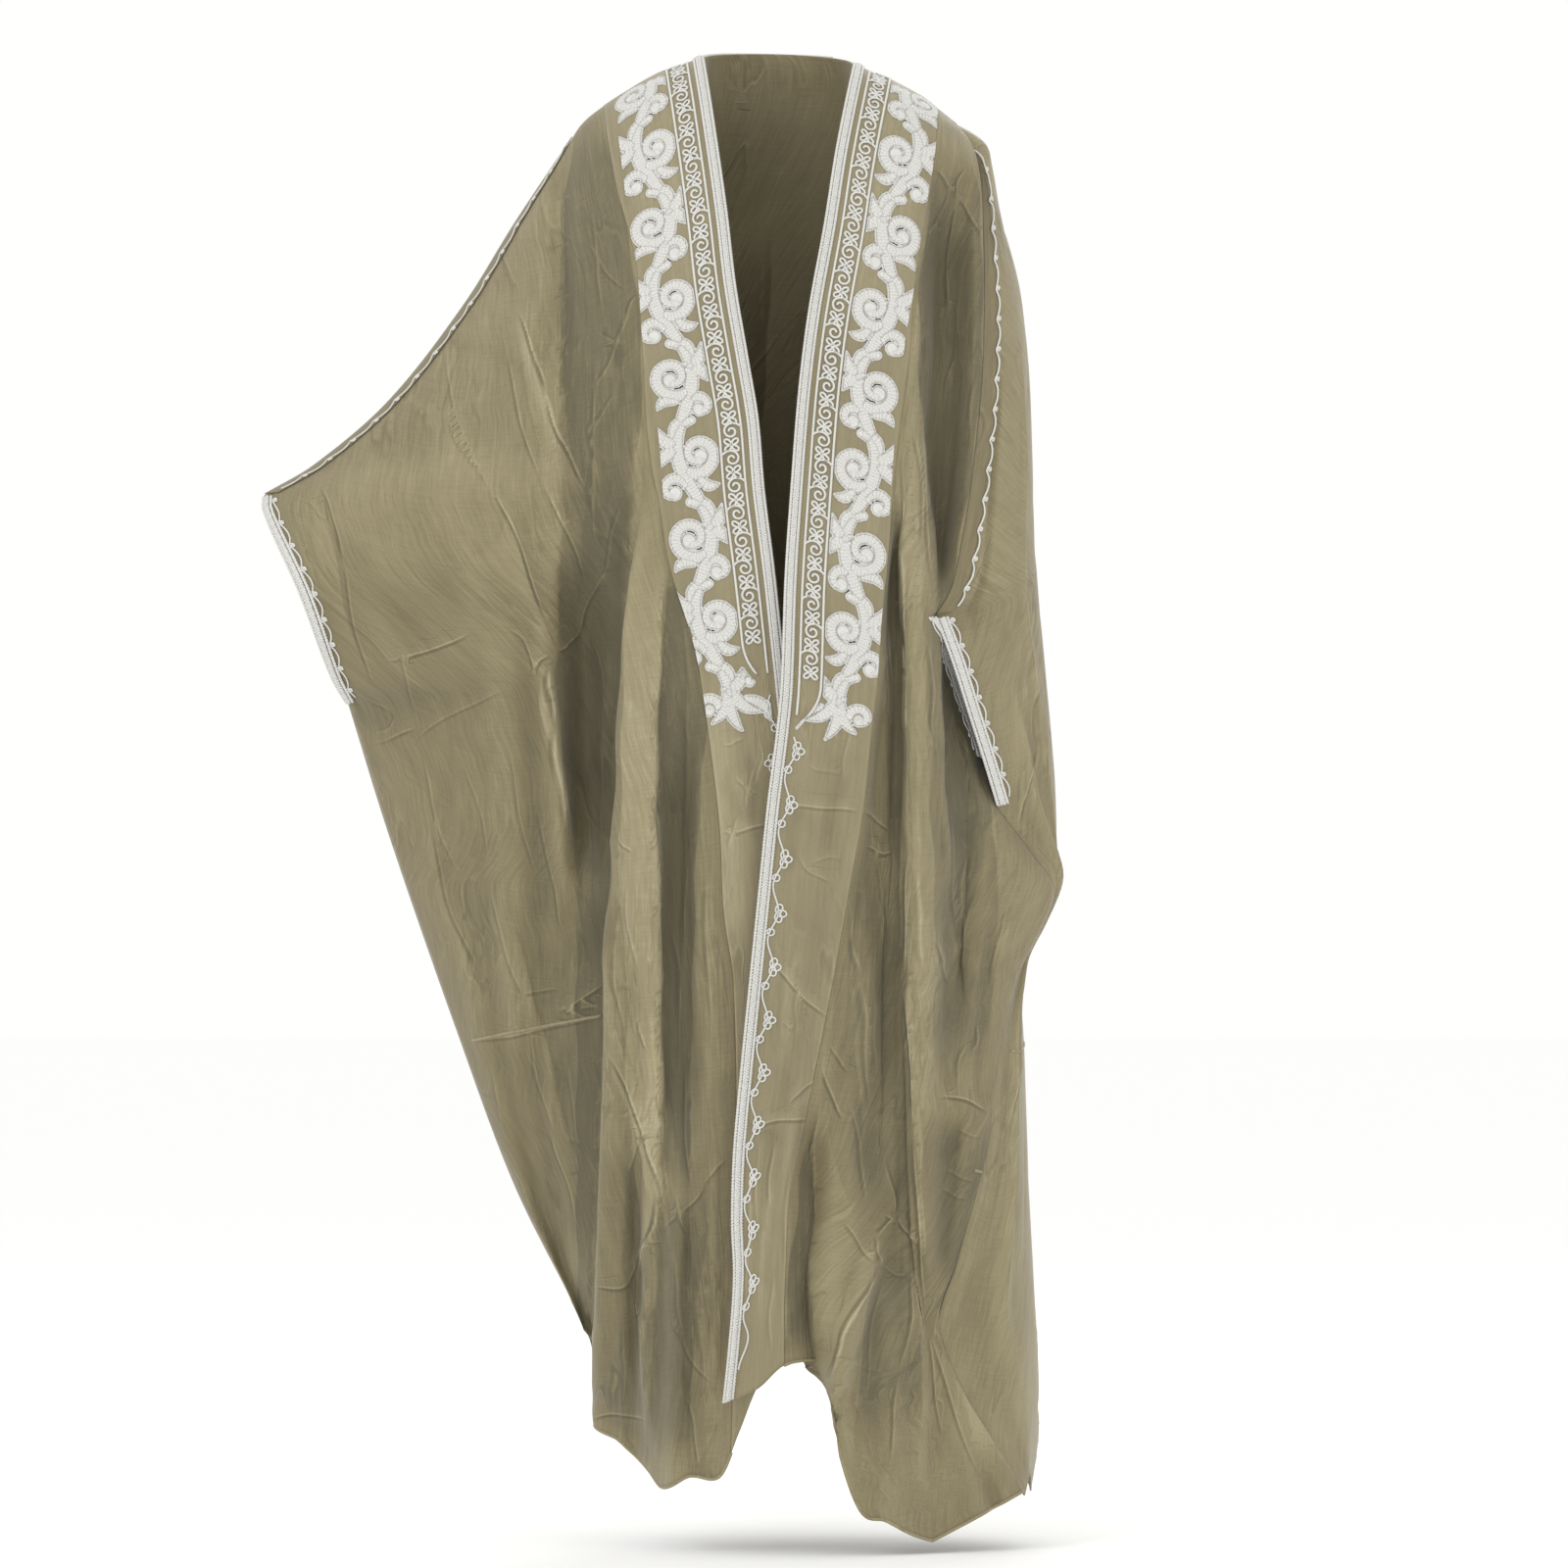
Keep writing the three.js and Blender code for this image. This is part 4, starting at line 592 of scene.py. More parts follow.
CREASES_LEFT = [
    (119, -1183, 97, -1201, 4, 3.2, 2), (119, -1183, 141, -1209, 4, 3, 2),
    (98, -1201, 104, -1233, 4, 2.4, 2), (104, -1233, 141, -1245, 4, 1.6, 3),
    (119, -1183, 107, -1123, 5, 1.8, 2), (103, -1229, 53, -1348, 4, 3.2, 5),
    (135, -1233, 121, -1343, 4, 2.4, -4), (121, -1341, 115, -1433, 4, 2.2, 3),
    (105, -1243, 89, -1363, 5, 1.6, 4), (160, -1059, 227, -1085, 4, 3.2, -5),
    (205, -1139, 255, -1144, 4, 3, 2), (221, -1088, 195, -1183, 4, 2.2, 3),
    (195, -1181, 154, -1288, 4, 2.8, -4), (153, -1288, 211, -1375, 4, 3, 4),
    (155, -1283, 263, -1411, 4, 2.8, 5), (151, -1293, 253, -1469, 4, 3, -5),
    (153, -1295, 205, -1449, 4, 2, 4), (153, -1295, 167, -1413, 4, 2, 3),
    (165, -1273, 225, -1333, 4, 1.6, 4), (205, -1153, 225, -1273, 4, 1.3, 3),
    (235, -1153, 241, -1303, 4, 1.2, -3), (180, -1093, 209, -1103, 3, 1.2, 2),
    (165, -1133, 205, -1148, 3, 1.2, 2), (163, -1153, 193, -1165, 3, 1.2, 2),
    (86, -805, 117, -813, 4, 3, 3), (81, -769, 113, -793, 4, 2.4, -2), (43, -1023, 67, -1085, 4, 3.2, 4),
    (51, -1005, 71, -1035, 3, 2, 2), (77, -943, 85, -1073, 4, 2, 3), (69, -1063, 85, -1173, 4, 1.8, -3),
    (43, -1063, 47, -1193, 4, 1.8, 3), (65, -1183, 101, -1231, 4, 2, 4), (85, -943, 89, -1043, 3, 1.2, 2),
    (107, -843, 105, -983, 4, 1.6, 3), (95, -813, 99, -903, 4, 1.4, -2), (71, -843, 77, -943, 4, 1.8, 2),
    (131, -813, 129, -943, 3, 3.4, 1), (129, -943, 137, -1093, 3, 3.2, -2),
    (137, -1093, 149, -1283, 4, 2.8, 2), (157, -898, 172, -948, 4, 2.4, 3), (171, -773, 175, -903, 4, 2, 2),
    (145, -823, 149, -943, 4, 1.4, 3), (190, -1003, 180, -1053, 4, 1.6, 3),
    (199, -985, 195, -1015, 3, 2.4, -4), (223, -769, 243, -795, 4, 3, -2), (241, -793, 267, -815, 4, 3, 3),
    (265, -813, 285, -851, 4, 2.8, 4), (241, -791, 255, -763, 4, 2, 3), (245, -943, 221, -1049, 4, 2.4, 3),
    (205, -843, 190, -943, 4, 1.4, 4), (235, -863, 215, -953, 4, 1.5, 4), (265, -883, 243, -943, 4, 1.5, 3),
    (185, -803, 177, -883, 4, 1.3, 3), (145, -383, 153, -543, 4, 2.2, 4),
    (135, -373, 141, -503, 4, 1.8, -3), (125, -383, 133, -643, 4, 2, 3), (173, -133, 150, -183, 4, 1.6, -4),
    (181, -143, 171, -273, 4, 2.4, 4), (181, -143, 209, -193, 4, 2.2, -3),
    (190, -113, 179, -148, 4, 2.4, 3), (160, -113, 185, -143, 4, 2, 3), (181, -303, 167, -363, 4, 1.6, 3),
    (201, -323, 195, -413, 4, 1.6, 3), (165, -423, 163, -503, 4, 1.4, 3), (110, -583, 117, -643, 4, 2.4, 3),
    (165, -273, 175, -223, 3, 1.2, 3), (135, -563, 133, -703, 4, 1.4, 2),
    (147, -583, 151, -723, 4, 1.4, -2), (205, -703, 245, -643, 5, 1.6, 6)]
PANES_LEFT = [
    ((-83, -143, -243, -343, -443, -543, -583), (163, 153, 139, 141, 153, 158, 161),
     (191, 205, 208, 206, 193, 175, 165), -0.24, 3),
    ((-423, -503, -583, -663, -743, -813, -853), (110, 109, 104, 107, 111, 118, 127),
     (120, 124, 128, 130, 129, 130, 131), -0.18, 2),
    ((-373, -503, -643, -773, -893, -1003), (120, 125, 130, 131, 131, 133),
     (143, 149, 153, 160, 165, 161), 0.04, 2.5),
    ((-483, -583, -703, -823, -943, -1043), (145, 145, 150, 154, 157, 155),
     (190, 197, 205, 223, 219, 205), -0.15, 3),
    (range(-583, -824, -60), (159, 159, 162, 167, 170), (167, 175, 195, 217, 205), -0.12, 3),
    ((-783, -893, -993, -1093, -1193), (85, 73, 65, 50, 75), (127, 129, 132, 136, 140), -0.09, 3),
    ((-903, -1003, -1083), (93, 91, 99), (107, 107, 107), -0.1, 5),
    ((-1083, -1143, -1223, -1283, -1338), (29, 19, 11, 7, 3), (34, 41, 45, 48, 52), -0.28, 2),
    ((-1193, -1273, -1343, -1413), (101, 89, 81, 77), (131, 139, 145, 139), -0.18, 4),
    (range(-1223, -1464, -80), (165, 180, 190, 195), (205, 225, 241, 235), 0.14, 8),
    ((-1063, -1123, -1183, -1243, -1288), range(143, 152, 2), (245, 229, 205, 180, 154), -0.19, 2),
    ((-533, -643, -743, -843, -923), (137, 139, 142, 146, 149), (161, 169, 185, 195, 195), -0.1, 3),
    ((-963, -1003, -1053, -1093), (145, 149, 165, 195), (235, 239, 235, 231), -0.07, 2),
    ((-483, -583, -683, -783, -843), (205, 205, 209, 215, 215), (290, 290, 295, 285, 275), -0.07, 12),
    ((-643, -743, -843, -943, -1043, -1143, -1233), (99, 85, 73, 57, 47, 35, 31),
     (127, 127, 131, 132, 135, 139, 143), -0.06, 2),
    (range(-1143, -1444, -100), (208, 190, 180, 170), (255, 261, 265, 255), 0.09, 5)]
EDGES_LEFT = [
    ((163, 153, 139, 141, 153, 158, 160, 165, 169, 180),
     (-83, -143, -243, -343, -443, -543, -643, -733, -823, -983), -1, 4, 18, 0.05, 30, 0.09),
    ((120, 124, 128, 130, 130, 133, 137, 142, 151),
     (-423, -503, -583, -663, -823, -993, -1083, -1173, -1288), 1, 5.5, 14, 0.1, 12, 0.12),
    ((34, 41, 45, 48, 52), (-1083, -1143, -1223, -1283, -1343), 1, 5, 18, 0.06, 14, 0.09),
    ((98, 80, 63, 52), (-1228, -1273, -1313, -1345), -1, 3, 16, 0.09, 14, 0.1),
    ((220, 205, 191, 171, 154), (-1088, -1138, -1193, -1253, -1288), 1, 4.2, 20, 0.12, 14, 0.14),
    ((245, 235, 217), (-943, -983, -1058), -1, 3.2, 14, 0.12, 12, 0.06),
    ((85, 77, 73, 85), (-793, -893, -1003, -1143), 1, 2.4, 12, 0.08, 10, 0.06)]
# painted shade and painted light in patches along the folds of the bands
SHADE_AND_LIGHT_BAND = [
    (-30, -700, -24, -800, 9, -0.2, 2), (-74, -860, -58, -940, 9, -0.16, 3),
    (-46, -880, -40, -960, 8, -0.14, 2), (66, -700, 52, -820, 12, -0.12, 4),
    (-4, -1120, -22, -1300, 7, 0.14, 2), (22, -900, 0, -1040, 9, 0.12, 2),
    (-62, -600, -40, -960, 30, 0.2, 3), (60, -620, 20, -1150, 26, -0.07, 3),
    (20, -760, 10, -840, 10, -0.14, 2), (-50, -720, -42, -800, 12, -0.12, 3),
    (10, -1020, -10, -1180, 16, -0.1, 3)]
CREASES_BAND = [
    (-59, -792, -10, -782, 4, 3.2, 3), (-119, -824, -57, -792, 4, 2.6, -3), (8, -766, 85, -772, 4, 2.8, -2),
    (-11, -919, 53, -983, 4, 3.4, 3), (-29, -1090, 35, -1081, 4, 3.4, -2),
    (10, -1069, 41, -1044, 4, 2.8, -5), (-4, -1103, -11, -1175, 3, 2.6, 2),
    (-19, -1093, -23, -1193, 3, 1.6, 2), (-45, -733, -19, -753, 4, 1.8, 4),
    (-39, -773, -51, -813, 4, 1.8, 3), (-25, -723, -33, -773, 4, 2.2, 3), (-17, -703, -25, -743, 4, 2, -2),
    (-59, -703, -35, -695, 4, 1.6, 3), (-60, -643, -53, -685, 4, 1.4, 2), (17, -813, 55, -843, 4, 1.6, 6),
    (31, -823, 65, -819, 3, 1.2, -3), (20, -943, 17, -1003, 4, 1.3, 2), (1, -983, 25, -993, 3, 1.2, 2),
    (11, -1123, 5, -1243, 3, 1.4, 2), (-31, -1123, -35, -1273, 4, 1.6, -2),
    (-5, -1233, -9, -1323, 4, 1.6, 2), (73, -683, 65, -743, 4, 1.4, 3), (53, -673, 61, -703, 3, 1.2, 2),
    (25, -723, 65, -733, 3, 1.2, 2)]
FOLDS_BACK = [
    (250, -330, 180, -980, 24, 6, 14), (330, -260, 300, -1100, 18, -6, 10),
    (430, -180, 420, -1250, 16, 7, 8), (520, -160, 530, -1300, 15, -6, -8),
    (610, -170, 620, -1280, 16, 7, 10), (700, -200, 690, -1300, 14, -6, -8),
    (790, -240, 800, -1350, 14, 6, 8), (130, -520, 150, -1150, 18, 5, 12),
    (880, -340, 880, -1380, 12, -5, 8), (960, -260, 950, -900, 12, 4, -6),
    (1010, -640, 1000, -1380, 14, 6, 6), (1050, -300, 1052, -620, 10, -4, 4)]
CREASES_BACK = [
    (210, -420, 320, -640, 6, 3, 10), (420, -200, 330, -420, 5, 2.4, 8), (640, -210, 720, -420, 5, 2.2, 8),
    (180, -700, 300, -760, 4, 2.2, 5), (520, -960, 640, -1010, 4, 2, 5), (780, -820, 880, -900, 4, 2.2, 5),
    (360, -1180, 460, -1150, 4, 2, 4), (1000, -720, 1080, -790, 4, 2.4, 5),
    (1010, -845, 1064, -800, 4, 2, 4), (1040, -480, 1080, -560, 4, 1.5, 4),
    (980, -1000, 1050, -1110, 5, 2.4, 6), (700, -1180, 800, -1260, 4, 2, 5)]
# fold edges of the back, with painted shadow beside them and painted highlight on them
EDGES_BACK = [
    ((240, 262, 250, 262), (-300, -520, -760, -980), 1, 5, 34, 0.16, 50, 0.06),
    ((430, 418, 424, 410), (-160, -520, -900, -1300), 1, 5.5, 26, 0.2, 42, 0.08),
    ((560, 572, 566, 580), (-200, -560, -900, -1330), -1, 5.5, 26, 0.2, 42, 0.08),
    ((690, 700, 688, 702), (-240, -600, -940, -1340), 1, 5, 24, 0.18, 38, 0.06),
    ((820, 812, 826, 818), (-300, -640, -980, -1380), -1, 5, 22, 0.18, 36, 0.06),
    ((1010, 1000, 1006, 996), (-640, -820, -1060, -1360), 1, 4, 20, 0.1, 30, 0.08)]
# painted shade along the back's troughs and painted light along its ridges
SHADE_AND_LIGHT_BACK = [
    (330, -260, 300, -1150, 60, -0.08, 6), (620, -150, 630, -1330, 60, 0.05, 4),
    (900, -320, 900, -1400, 50, -0.06, 6), (180, -400, 160, -900, 90, 0.06, 4)]


# ---------------------------------------------------------------- finishes
class Amount:
    """A number socket in a finish: sums and products of amounts add Math nodes."""

    def __init__(self, finish, socket):
        self.finish, self.socket = finish, socket

    def maths(self, operation, *values):
        return self.finish.node("ShaderNodeMath", {"operation": operation}, dict(enumerate(values)))

    def __add__(self, other):
        return self.maths("ADD", self, other)

    __radd__ = __add__

    def __sub__(self, other):
        return self.maths("SUBTRACT", self, other)

    def __rsub__(self, other):
        return self.maths("SUBTRACT", other, self)

    def __mul__(self, other):
        return self.maths("MULTIPLY", self, other)

    __rmul__ = __mul__

    def __truediv__(self, other):
        return self.maths("DIVIDE", self, other)

    def __pow__(self, other):
        return self.maths("POWER", self, other)

    def sine(self):
        return self.maths("SINE", self)

    def clamped(self):
        return self.finish.node("ShaderNodeClamp", {}, {"Value": self})

    def fraction(self):
        return self.maths("FRACT", self)

    def absolute(self):
        return self.maths("ABSOLUTE", self)


class Finish:
    """A material: its shader's constants are set at once, its nodes come from node()."""

    def __init__(self, name, **constants):
        self.material = bpy.data.materials.new(name)
        self.material.use_nodes = True
        self.tree = self.material.node_tree
        self.shader = self.tree.nodes["Principled BSDF"]
        for key, value in constants.items():
            self.shader.inputs[key.replace("_", " ")].default_value = value

    def node(self, kind, settings, inputs, output=0):
        made = self.tree.nodes.new(kind)
        for key, value in settings.items():
            if key == "stops":
                ramp = made.color_ramp
                while len(ramp.elements) < len(value):
                    ramp.elements.new(0.5)
                for element, (place, colour) in zip(ramp.elements, value):
                    element.position, element.color = place, (*colour, 1)
            else:
                setattr(made, key, value)
        for key, value in inputs.items():
            if isinstance(value, Amount):
                self.tree.links.new(value.socket, made.inputs[key])
            else:
                made.inputs[key].default_value = value
        return Amount(self, made.outputs[output])

    def feed(self, **inputs):
        for key, value in inputs.items():
            self.tree.links.new(value.socket, self.shader.inputs[key.replace("_", " ")])
        return self.material

    def along_cloth(self):
        """The piece's own UV map, in metres: across and down the cloth."""
        return self.node("ShaderNodeUVMap", {"uv_map": "cloth"}, {})

    def split(self, vector):
        made = self.tree.nodes.new("ShaderNodeSeparateXYZ")
        self.tree.links.new(vector.socket, made.inputs[0])
        return Amount(self, made.outputs[0]), Amount(self, made.outputs[1])

    def noise(self, cloth, across, down, detail=3.0, rough=0.55, shift=(0, 0)):
        """Noise on the cloth, with so many grains to a metre across it and down it."""
        placed = self.node("ShaderNodeMapping", {}, {"Vector": cloth, "Scale": (across, down, 1),
                                                     "Location": (*shift, 0)})
        return self.node("ShaderNodeTexNoise", {}, {"Vector": placed, "Scale": 1.0, "Detail": detail,
                                                    "Roughness": rough})

    def ramp(self, amount, stops):
        return self.node("ShaderNodeValToRGB", {"stops": stops}, {"Fac": amount})

    def painted(self, name):
        """A value kept at the corners of the piece."""
        return self.node("ShaderNodeAttribute", {"attribute_name": name}, {}, output=2)

    def bump(self, height, distance, strength=1.0):
        return self.node("ShaderNodeBump", {}, {"Height": height, "Distance": distance, "Strength": strength})


# width of the stitch pattern round a cord, in metres
LANE = 0.006


def voile_finish(name, stops, tone_lift, see_weave):
    """Sheer voile: vertical slub, a finer cross thread, tones of single and doubled cloth, and the painted
    shade and painted highlights of folds, creases and wrinkles.
    """
    finish = Finish(name, Roughness=0.62, Specular_IOR_Level=0.28, Sheen_Weight=0.22, Sheen_Roughness=0.5)
    cloth = finish.along_cloth()
    slub = finish.noise(cloth, 420, 26)
    cross = finish.noise(cloth, 30, 460, 2.0, shift=(3, 7))
    grain = finish.noise(cloth, 900, 900, 1.0)
    cloudy = finish.noise(cloth, 16, 7, shift=(11, 5))
    streak = finish.noise(cloth, 46, 2.6, 4.0, shift=(2, 9))
    threads = finish.noise(cloth, 230, 13, 6.0, rough=0.75, shift=(6, 1))
    weave = slub * 0.5 + cross * 0.3 + grain * 0.2
    mottle = (cloudy - 0.5) * 0.16 + (streak - 0.5) * 0.14 + (threads - 0.5) * 0.44
    # crisp sides of layers, and pressed creases: a painted highlight along the crest with a painted shadow
    # beside it
    layer = finish.painted("tone") + finish.painted("step") * (finish.painted("near") / 1.6 + 0.5).clamped()
    off, rise = finish.painted("crease"), finish.painted("rise")
    crest = (1 - (off + 0.8).absolute() / 1.5).clamped()
    crease_shadow = (1 - (off - 1.6).absolute() / 2.4).clamped()
    layer = layer + rise * (crest * 0.10 - crease_shadow * 0.115)
    # small wrinkles, thin lines of a stretched noise that come and go: a painted highlight along each line
    # with a painted shadow just beside it, the lines also raised by the bump
    ridges = 0.5 * weave
    for across, down, wide, amount, place in ((24, 6.5, 0.022, 0.16, 4), (52, 11, 0.034, 0.12, 8)):
        waves = finish.noise(cloth, across, down, 2.0, shift=(place, 2)) - 0.5
        here = ((finish.noise(cloth, 9, 5, 1.0, shift=(1, place)) - 0.5) * 5).clamped()
        line = (1 - waves.absolute() / wide).clamped() * here
        under = (1 - (waves - 1.4 * wide).absolute() / (1.3 * wide)).clamped() * here
        layer = layer + (line * 0.8 - under) * amount
        ridges = ridges + line * 0.8
    tone = layer + tone_lift + (weave - 0.5) * see_weave + mottle
    colour = finish.ramp(tone.clamped(), stops)
    rough = 0.56 + (weave - 0.5) * 0.4
    raised = finish.bump(ridges + crest * rise * 0.2, 0.0012, 0.6)
    return finish.feed(Base_Color=colour, Roughness=rough, Normal=raised)


def cord_finish(name, pitch, rows, dark, light):
    """White cord: stitches of one pitch along the cord, in rows across it."""
    finish = Finish(name, Roughness=0.55, Specular_IOR_Level=0.35, Sheen_Weight=0.15)
    cloth = finish.along_cloth()
    along, off = finish.split(cloth)
    lane = off / rows
    lean = (lane.fraction() - 0.5).absolute()
    stitch = ((along / pitch + lean * 0.9) * (2 * math.pi)).sine() * 0.5 + 0.5
    body = (stitch * 0.6 + 0.4) * (1 - (lean * 2) ** 2.6)
    worn = finish.noise(cloth, 220, 220, 2.0)
    tint = (body * 0.8 + worn * 0.3).clamped()
    colour = finish.ramp(tint, [(0.0, dark), (0.45, mixed(dark, light, 0.8)), (1.0, light)])
    return finish.feed(Base_Color=colour, Normal=finish.bump(body, 0.0007, 0.9))


def padded_finish(name, dark, light):
    """White chain stitch that fills a shape, inside the cord of its outline."""
    finish = Finish(name, Roughness=0.6, Specular_IOR_Level=0.3, Sheen_Weight=0.15)
    cloth = finish.along_cloth()
    along, depth = finish.split(cloth)
    lane = (depth / 0.0021).fraction() - 0.5
    stitch = ((along / 0.0034 + lane.absolute()) * (2 * math.pi)).sine()
    speck = finish.noise(cloth, 900, 900, 2.0, rough=0.7)
    inner = ((depth - 0.0016) / 0.0006).clamped()
    groove = (1 - ((depth - 0.0022) / 0.0009).absolute()).clamped()
    tint = (stitch * (inner * 0.16 + 0.05) + (speck - 0.5) * 1.3 + 0.62 - groove * 0.42).clamped()
    colour = finish.ramp(tint, [(0.0, dark), (0.5, mixed(dark, light, 0.75)), (1.0, light)])
    return finish.feed(Base_Color=colour, Normal=finish.bump(tint, 0.0006, 0.8))


def mixed(a, b, k):
    return tuple(x + (y - x) * k for x, y in zip(a, b))


VOILE = voile_finish("voile_single", [(0.0, (0.088, 0.077, 0.044)), (0.3, (0.130, 0.113, 0.064)),
                                      (0.55, (0.210, 0.175, 0.096)), (0.8, (0.305, 0.262, 0.152)),
                                      (1.0, (0.42, 0.375, 0.24))], 0.0, 0.62)
DOUBLE_VOILE = voile_finish("voile_double", [(0.0, (0.10, 0.087, 0.052)), (0.4, (0.205, 0.172, 0.100)),
                                             (0.7, (0.285, 0.244, 0.146)), (1.0, (0.40, 0.355, 0.23))],
                            0.04, 0.40)
STITCHED = padded_finish("white_chain_stitch", (0.24, 0.225, 0.18), (0.74, 0.735, 0.705))
CORD = cord_finish("white_twisted_cord", 0.0022, LANE, (0.34, 0.325, 0.28), (0.76, 0.755, 0.72))


# ---------------------------------------------------------------- meshes
def add_mesh(name, vertices, quads, uv, finish, replaced=(), painted=None):
    """A finished piece from corner points, four-sided faces and one UV pair for each face corner."""
    corners = quads.reshape(-1)
    mesh = bpy.data.meshes.new(name)
    mesh.vertices.add(len(vertices))
    mesh.vertices.foreach_set("co", np.ascontiguousarray(vertices, dtype=np.float32).reshape(-1))
    mesh.loops.add(len(corners))
    mesh.loops.foreach_set("vertex_index", corners.astype(np.int32))
    mesh.polygons.add(len(quads))
    mesh.polygons.foreach_set("loop_start", np.arange(len(quads), dtype=np.int32) * 4)
    layer = mesh.uv_layers.new(name="cloth")
    mesh.update(calc_edges=True)
    layer.data.foreach_set("uv", np.ascontiguousarray(uv, dtype=np.float32).reshape(-1))
    mesh.polygons.foreach_set("use_smooth", [True] * len(quads))
    for key, values in (painted or {}).items():
        kept = mesh.attributes.new(key, "FLOAT", "POINT")
        kept.data.foreach_set("value", values.reshape(-1).astype(np.float32))
    mesh.materials.append(finish)
    mesh.validate()
    piece = bpy.data.objects.new(name, mesh)
    bpy.context.scene.collection.objects.link(piece)
    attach(piece, "root")
    if replaced:
        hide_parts(*replaced)
    return piece


def grid_quads(rows, columns, turned=False):
    i, j = np.meshgrid(np.arange(rows - 1), np.arange(columns - 1), indexing="ij")
    a = (i * columns + j).reshape(-1)
    quads = np.stack([a, a + 1, a + columns + 1, a + columns], axis=1)
    return quads[:, ::-1] if turned else quads


def cloth_piece(name, points, uv, painted, outward, wall, finish, replaced):
    """A thin closed shell on a grid of points, its wall on the inside."""
    rows, columns, _ = points.shape
    quads = grid_quads(rows, columns, outward < 0)
    piece = add_mesh(name, points.reshape(-1, 3), quads, uv.reshape(-1, 2)[quads.reshape(-1)], finish,
                     replaced, painted)
    shell = piece.modifiers.new("wall", "SOLIDIFY")
    shell.thickness, shell.offset, shell.use_even_offset = wall, -1, False
    return piece


class Laid:
    """Cloth opened flat for what is sewn on it: s in from its edge, t along the edge, in metres."""

    STEP_S, STEP_T = 0.0015, 0.002

    def __init__(self, points, reach, outward):
        across = lengths_along(points, 1)
        steps = np.arange(0, reach + self.STEP_S, self.STEP_S)
        even = np.stack([np.stack([np.interp(steps, across[i], points[i, :, c]) for c in range(3)], axis=-1)
                         for i in range(len(points))])
        along = lengths_along(even[:, [min(5, len(steps) - 1)]], 0)[:, 0]
        self.length = along[-1]
        marks = np.arange(0, self.length, self.STEP_T)
        flat = even.reshape(len(even), -1)
        self.points = np.stack([np.interp(marks, along, flat[:, c]) for c in range(flat.shape[1])],
                               axis=-1).reshape(len(marks), len(steps), 3)
        self.normals = normals_of(self.points, outward)

    def place(self, s, t, lift=0.0):
        """Points and outward directions at s, t, raised by lift."""
        rows, columns, _ = self.points.shape
        i, j = np.asarray(t) / self.STEP_T, np.asarray(s) / self.STEP_S
        i0 = np.clip(np.floor(i).astype(int), 0, rows - 2)
        j0 = np.clip(np.floor(j).astype(int), 0, columns - 2)
        v, u = (i - i0)[..., None], (j - j0)[..., None]
        found = []
        for layer in (self.points, self.normals):
            top = layer[i0, j0] * (1 - u) + layer[i0, j0 + 1] * u
            foot = layer[i0 + 1, j0] * (1 - u) + layer[i0 + 1, j0 + 1] * u
            found.append(top * (1 - v) + foot * v)
        direction = unit(found[1])
        return found[0] + direction * np.asarray(lift)[..., None], direction


# an end of a cord is closed by two four-sided faces, which needs six sides
SIDES = 6
END_FACES = np.array([[3, 2, 1, 0], [5, 4, 3, 0]])


def cord_piece(name, laid, lines, radius, replaced=(), flat=0.85, sink=0.3):
    """Round cords couched on cloth. Each line is rows of s, t and lift, in millimetres."""
    lines = [np.asarray(line, dtype=float) * MM for line in lines]
    runs = [laid.place(line[:, 0], line[:, 1], line[:, 2] + radius * flat * (1 - sink)) for line in lines]
    return cords(name, runs, radius, flat, CORD, replaced)


def cords(name, runs, radius, flat, finish, replaced=(), tone=None):
    """Round cords along runs of points, each with its outward directions."""
    angles = np.arange(SIDES) * 2 * np.pi / SIDES
    vertices, quads, uv, count = [], [], [], 0
    for points, direction in runs:
        tangent = unit(np.gradient(points, axis=0))
        sideways = unit(np.cross(direction, tangent))
        rise = unit(np.cross(tangent, sideways))
        ring = points[:, None] + radius * (np.cos(angles)[:, None] * sideways[:, None]
                                           + flat * np.sin(angles)[:, None] * rise[:, None])
        n = len(points)
        i, k = np.meshgrid(np.arange(n - 1), np.arange(SIDES), indexing="ij")
        i, k = i.reshape(-1), k.reshape(-1)
        after = (k + 1) % SIDES
        below = i * SIDES + SIDES
        wall = np.stack([i * SIDES + k, i * SIDES + after, below + after, below + k], axis=1)
        ends = np.concatenate([END_FACES, END_FACES[:, ::-1] + (n - 1) * SIDES])
        length = lengths_along(points[:, None], 0)[:, 0]
        lanes = np.stack([k, k + 1, k + 1, k], axis=1) / SIDES * LANE
        runs = np.stack([length[i], length[i], length[i + 1], length[i + 1]], axis=1)
        vertices.append(ring.reshape(-1, 3))
        quads.append(np.concatenate([wall, ends]) + count)
        uv.append(np.concatenate([np.stack([runs, lanes], axis=-1).reshape(-1, 2), np.zeros((ends.size, 2))]))
        count += n * SIDES
    return add_mesh(name, np.concatenate(vertices), np.concatenate(quads), np.concatenate(uv),
                    finish, replaced, None if tone is None else {"tone": np.full(count, tone)})


# tones of plain cloth in each kind of piece, from 0 (dark) to 1 (light)
PANEL_TONE, BAND_TONE, NECK_TONE, STRIP_TONE, HEM_TONE = 0.60, 0.55, 0.62, 0.50, 0.74


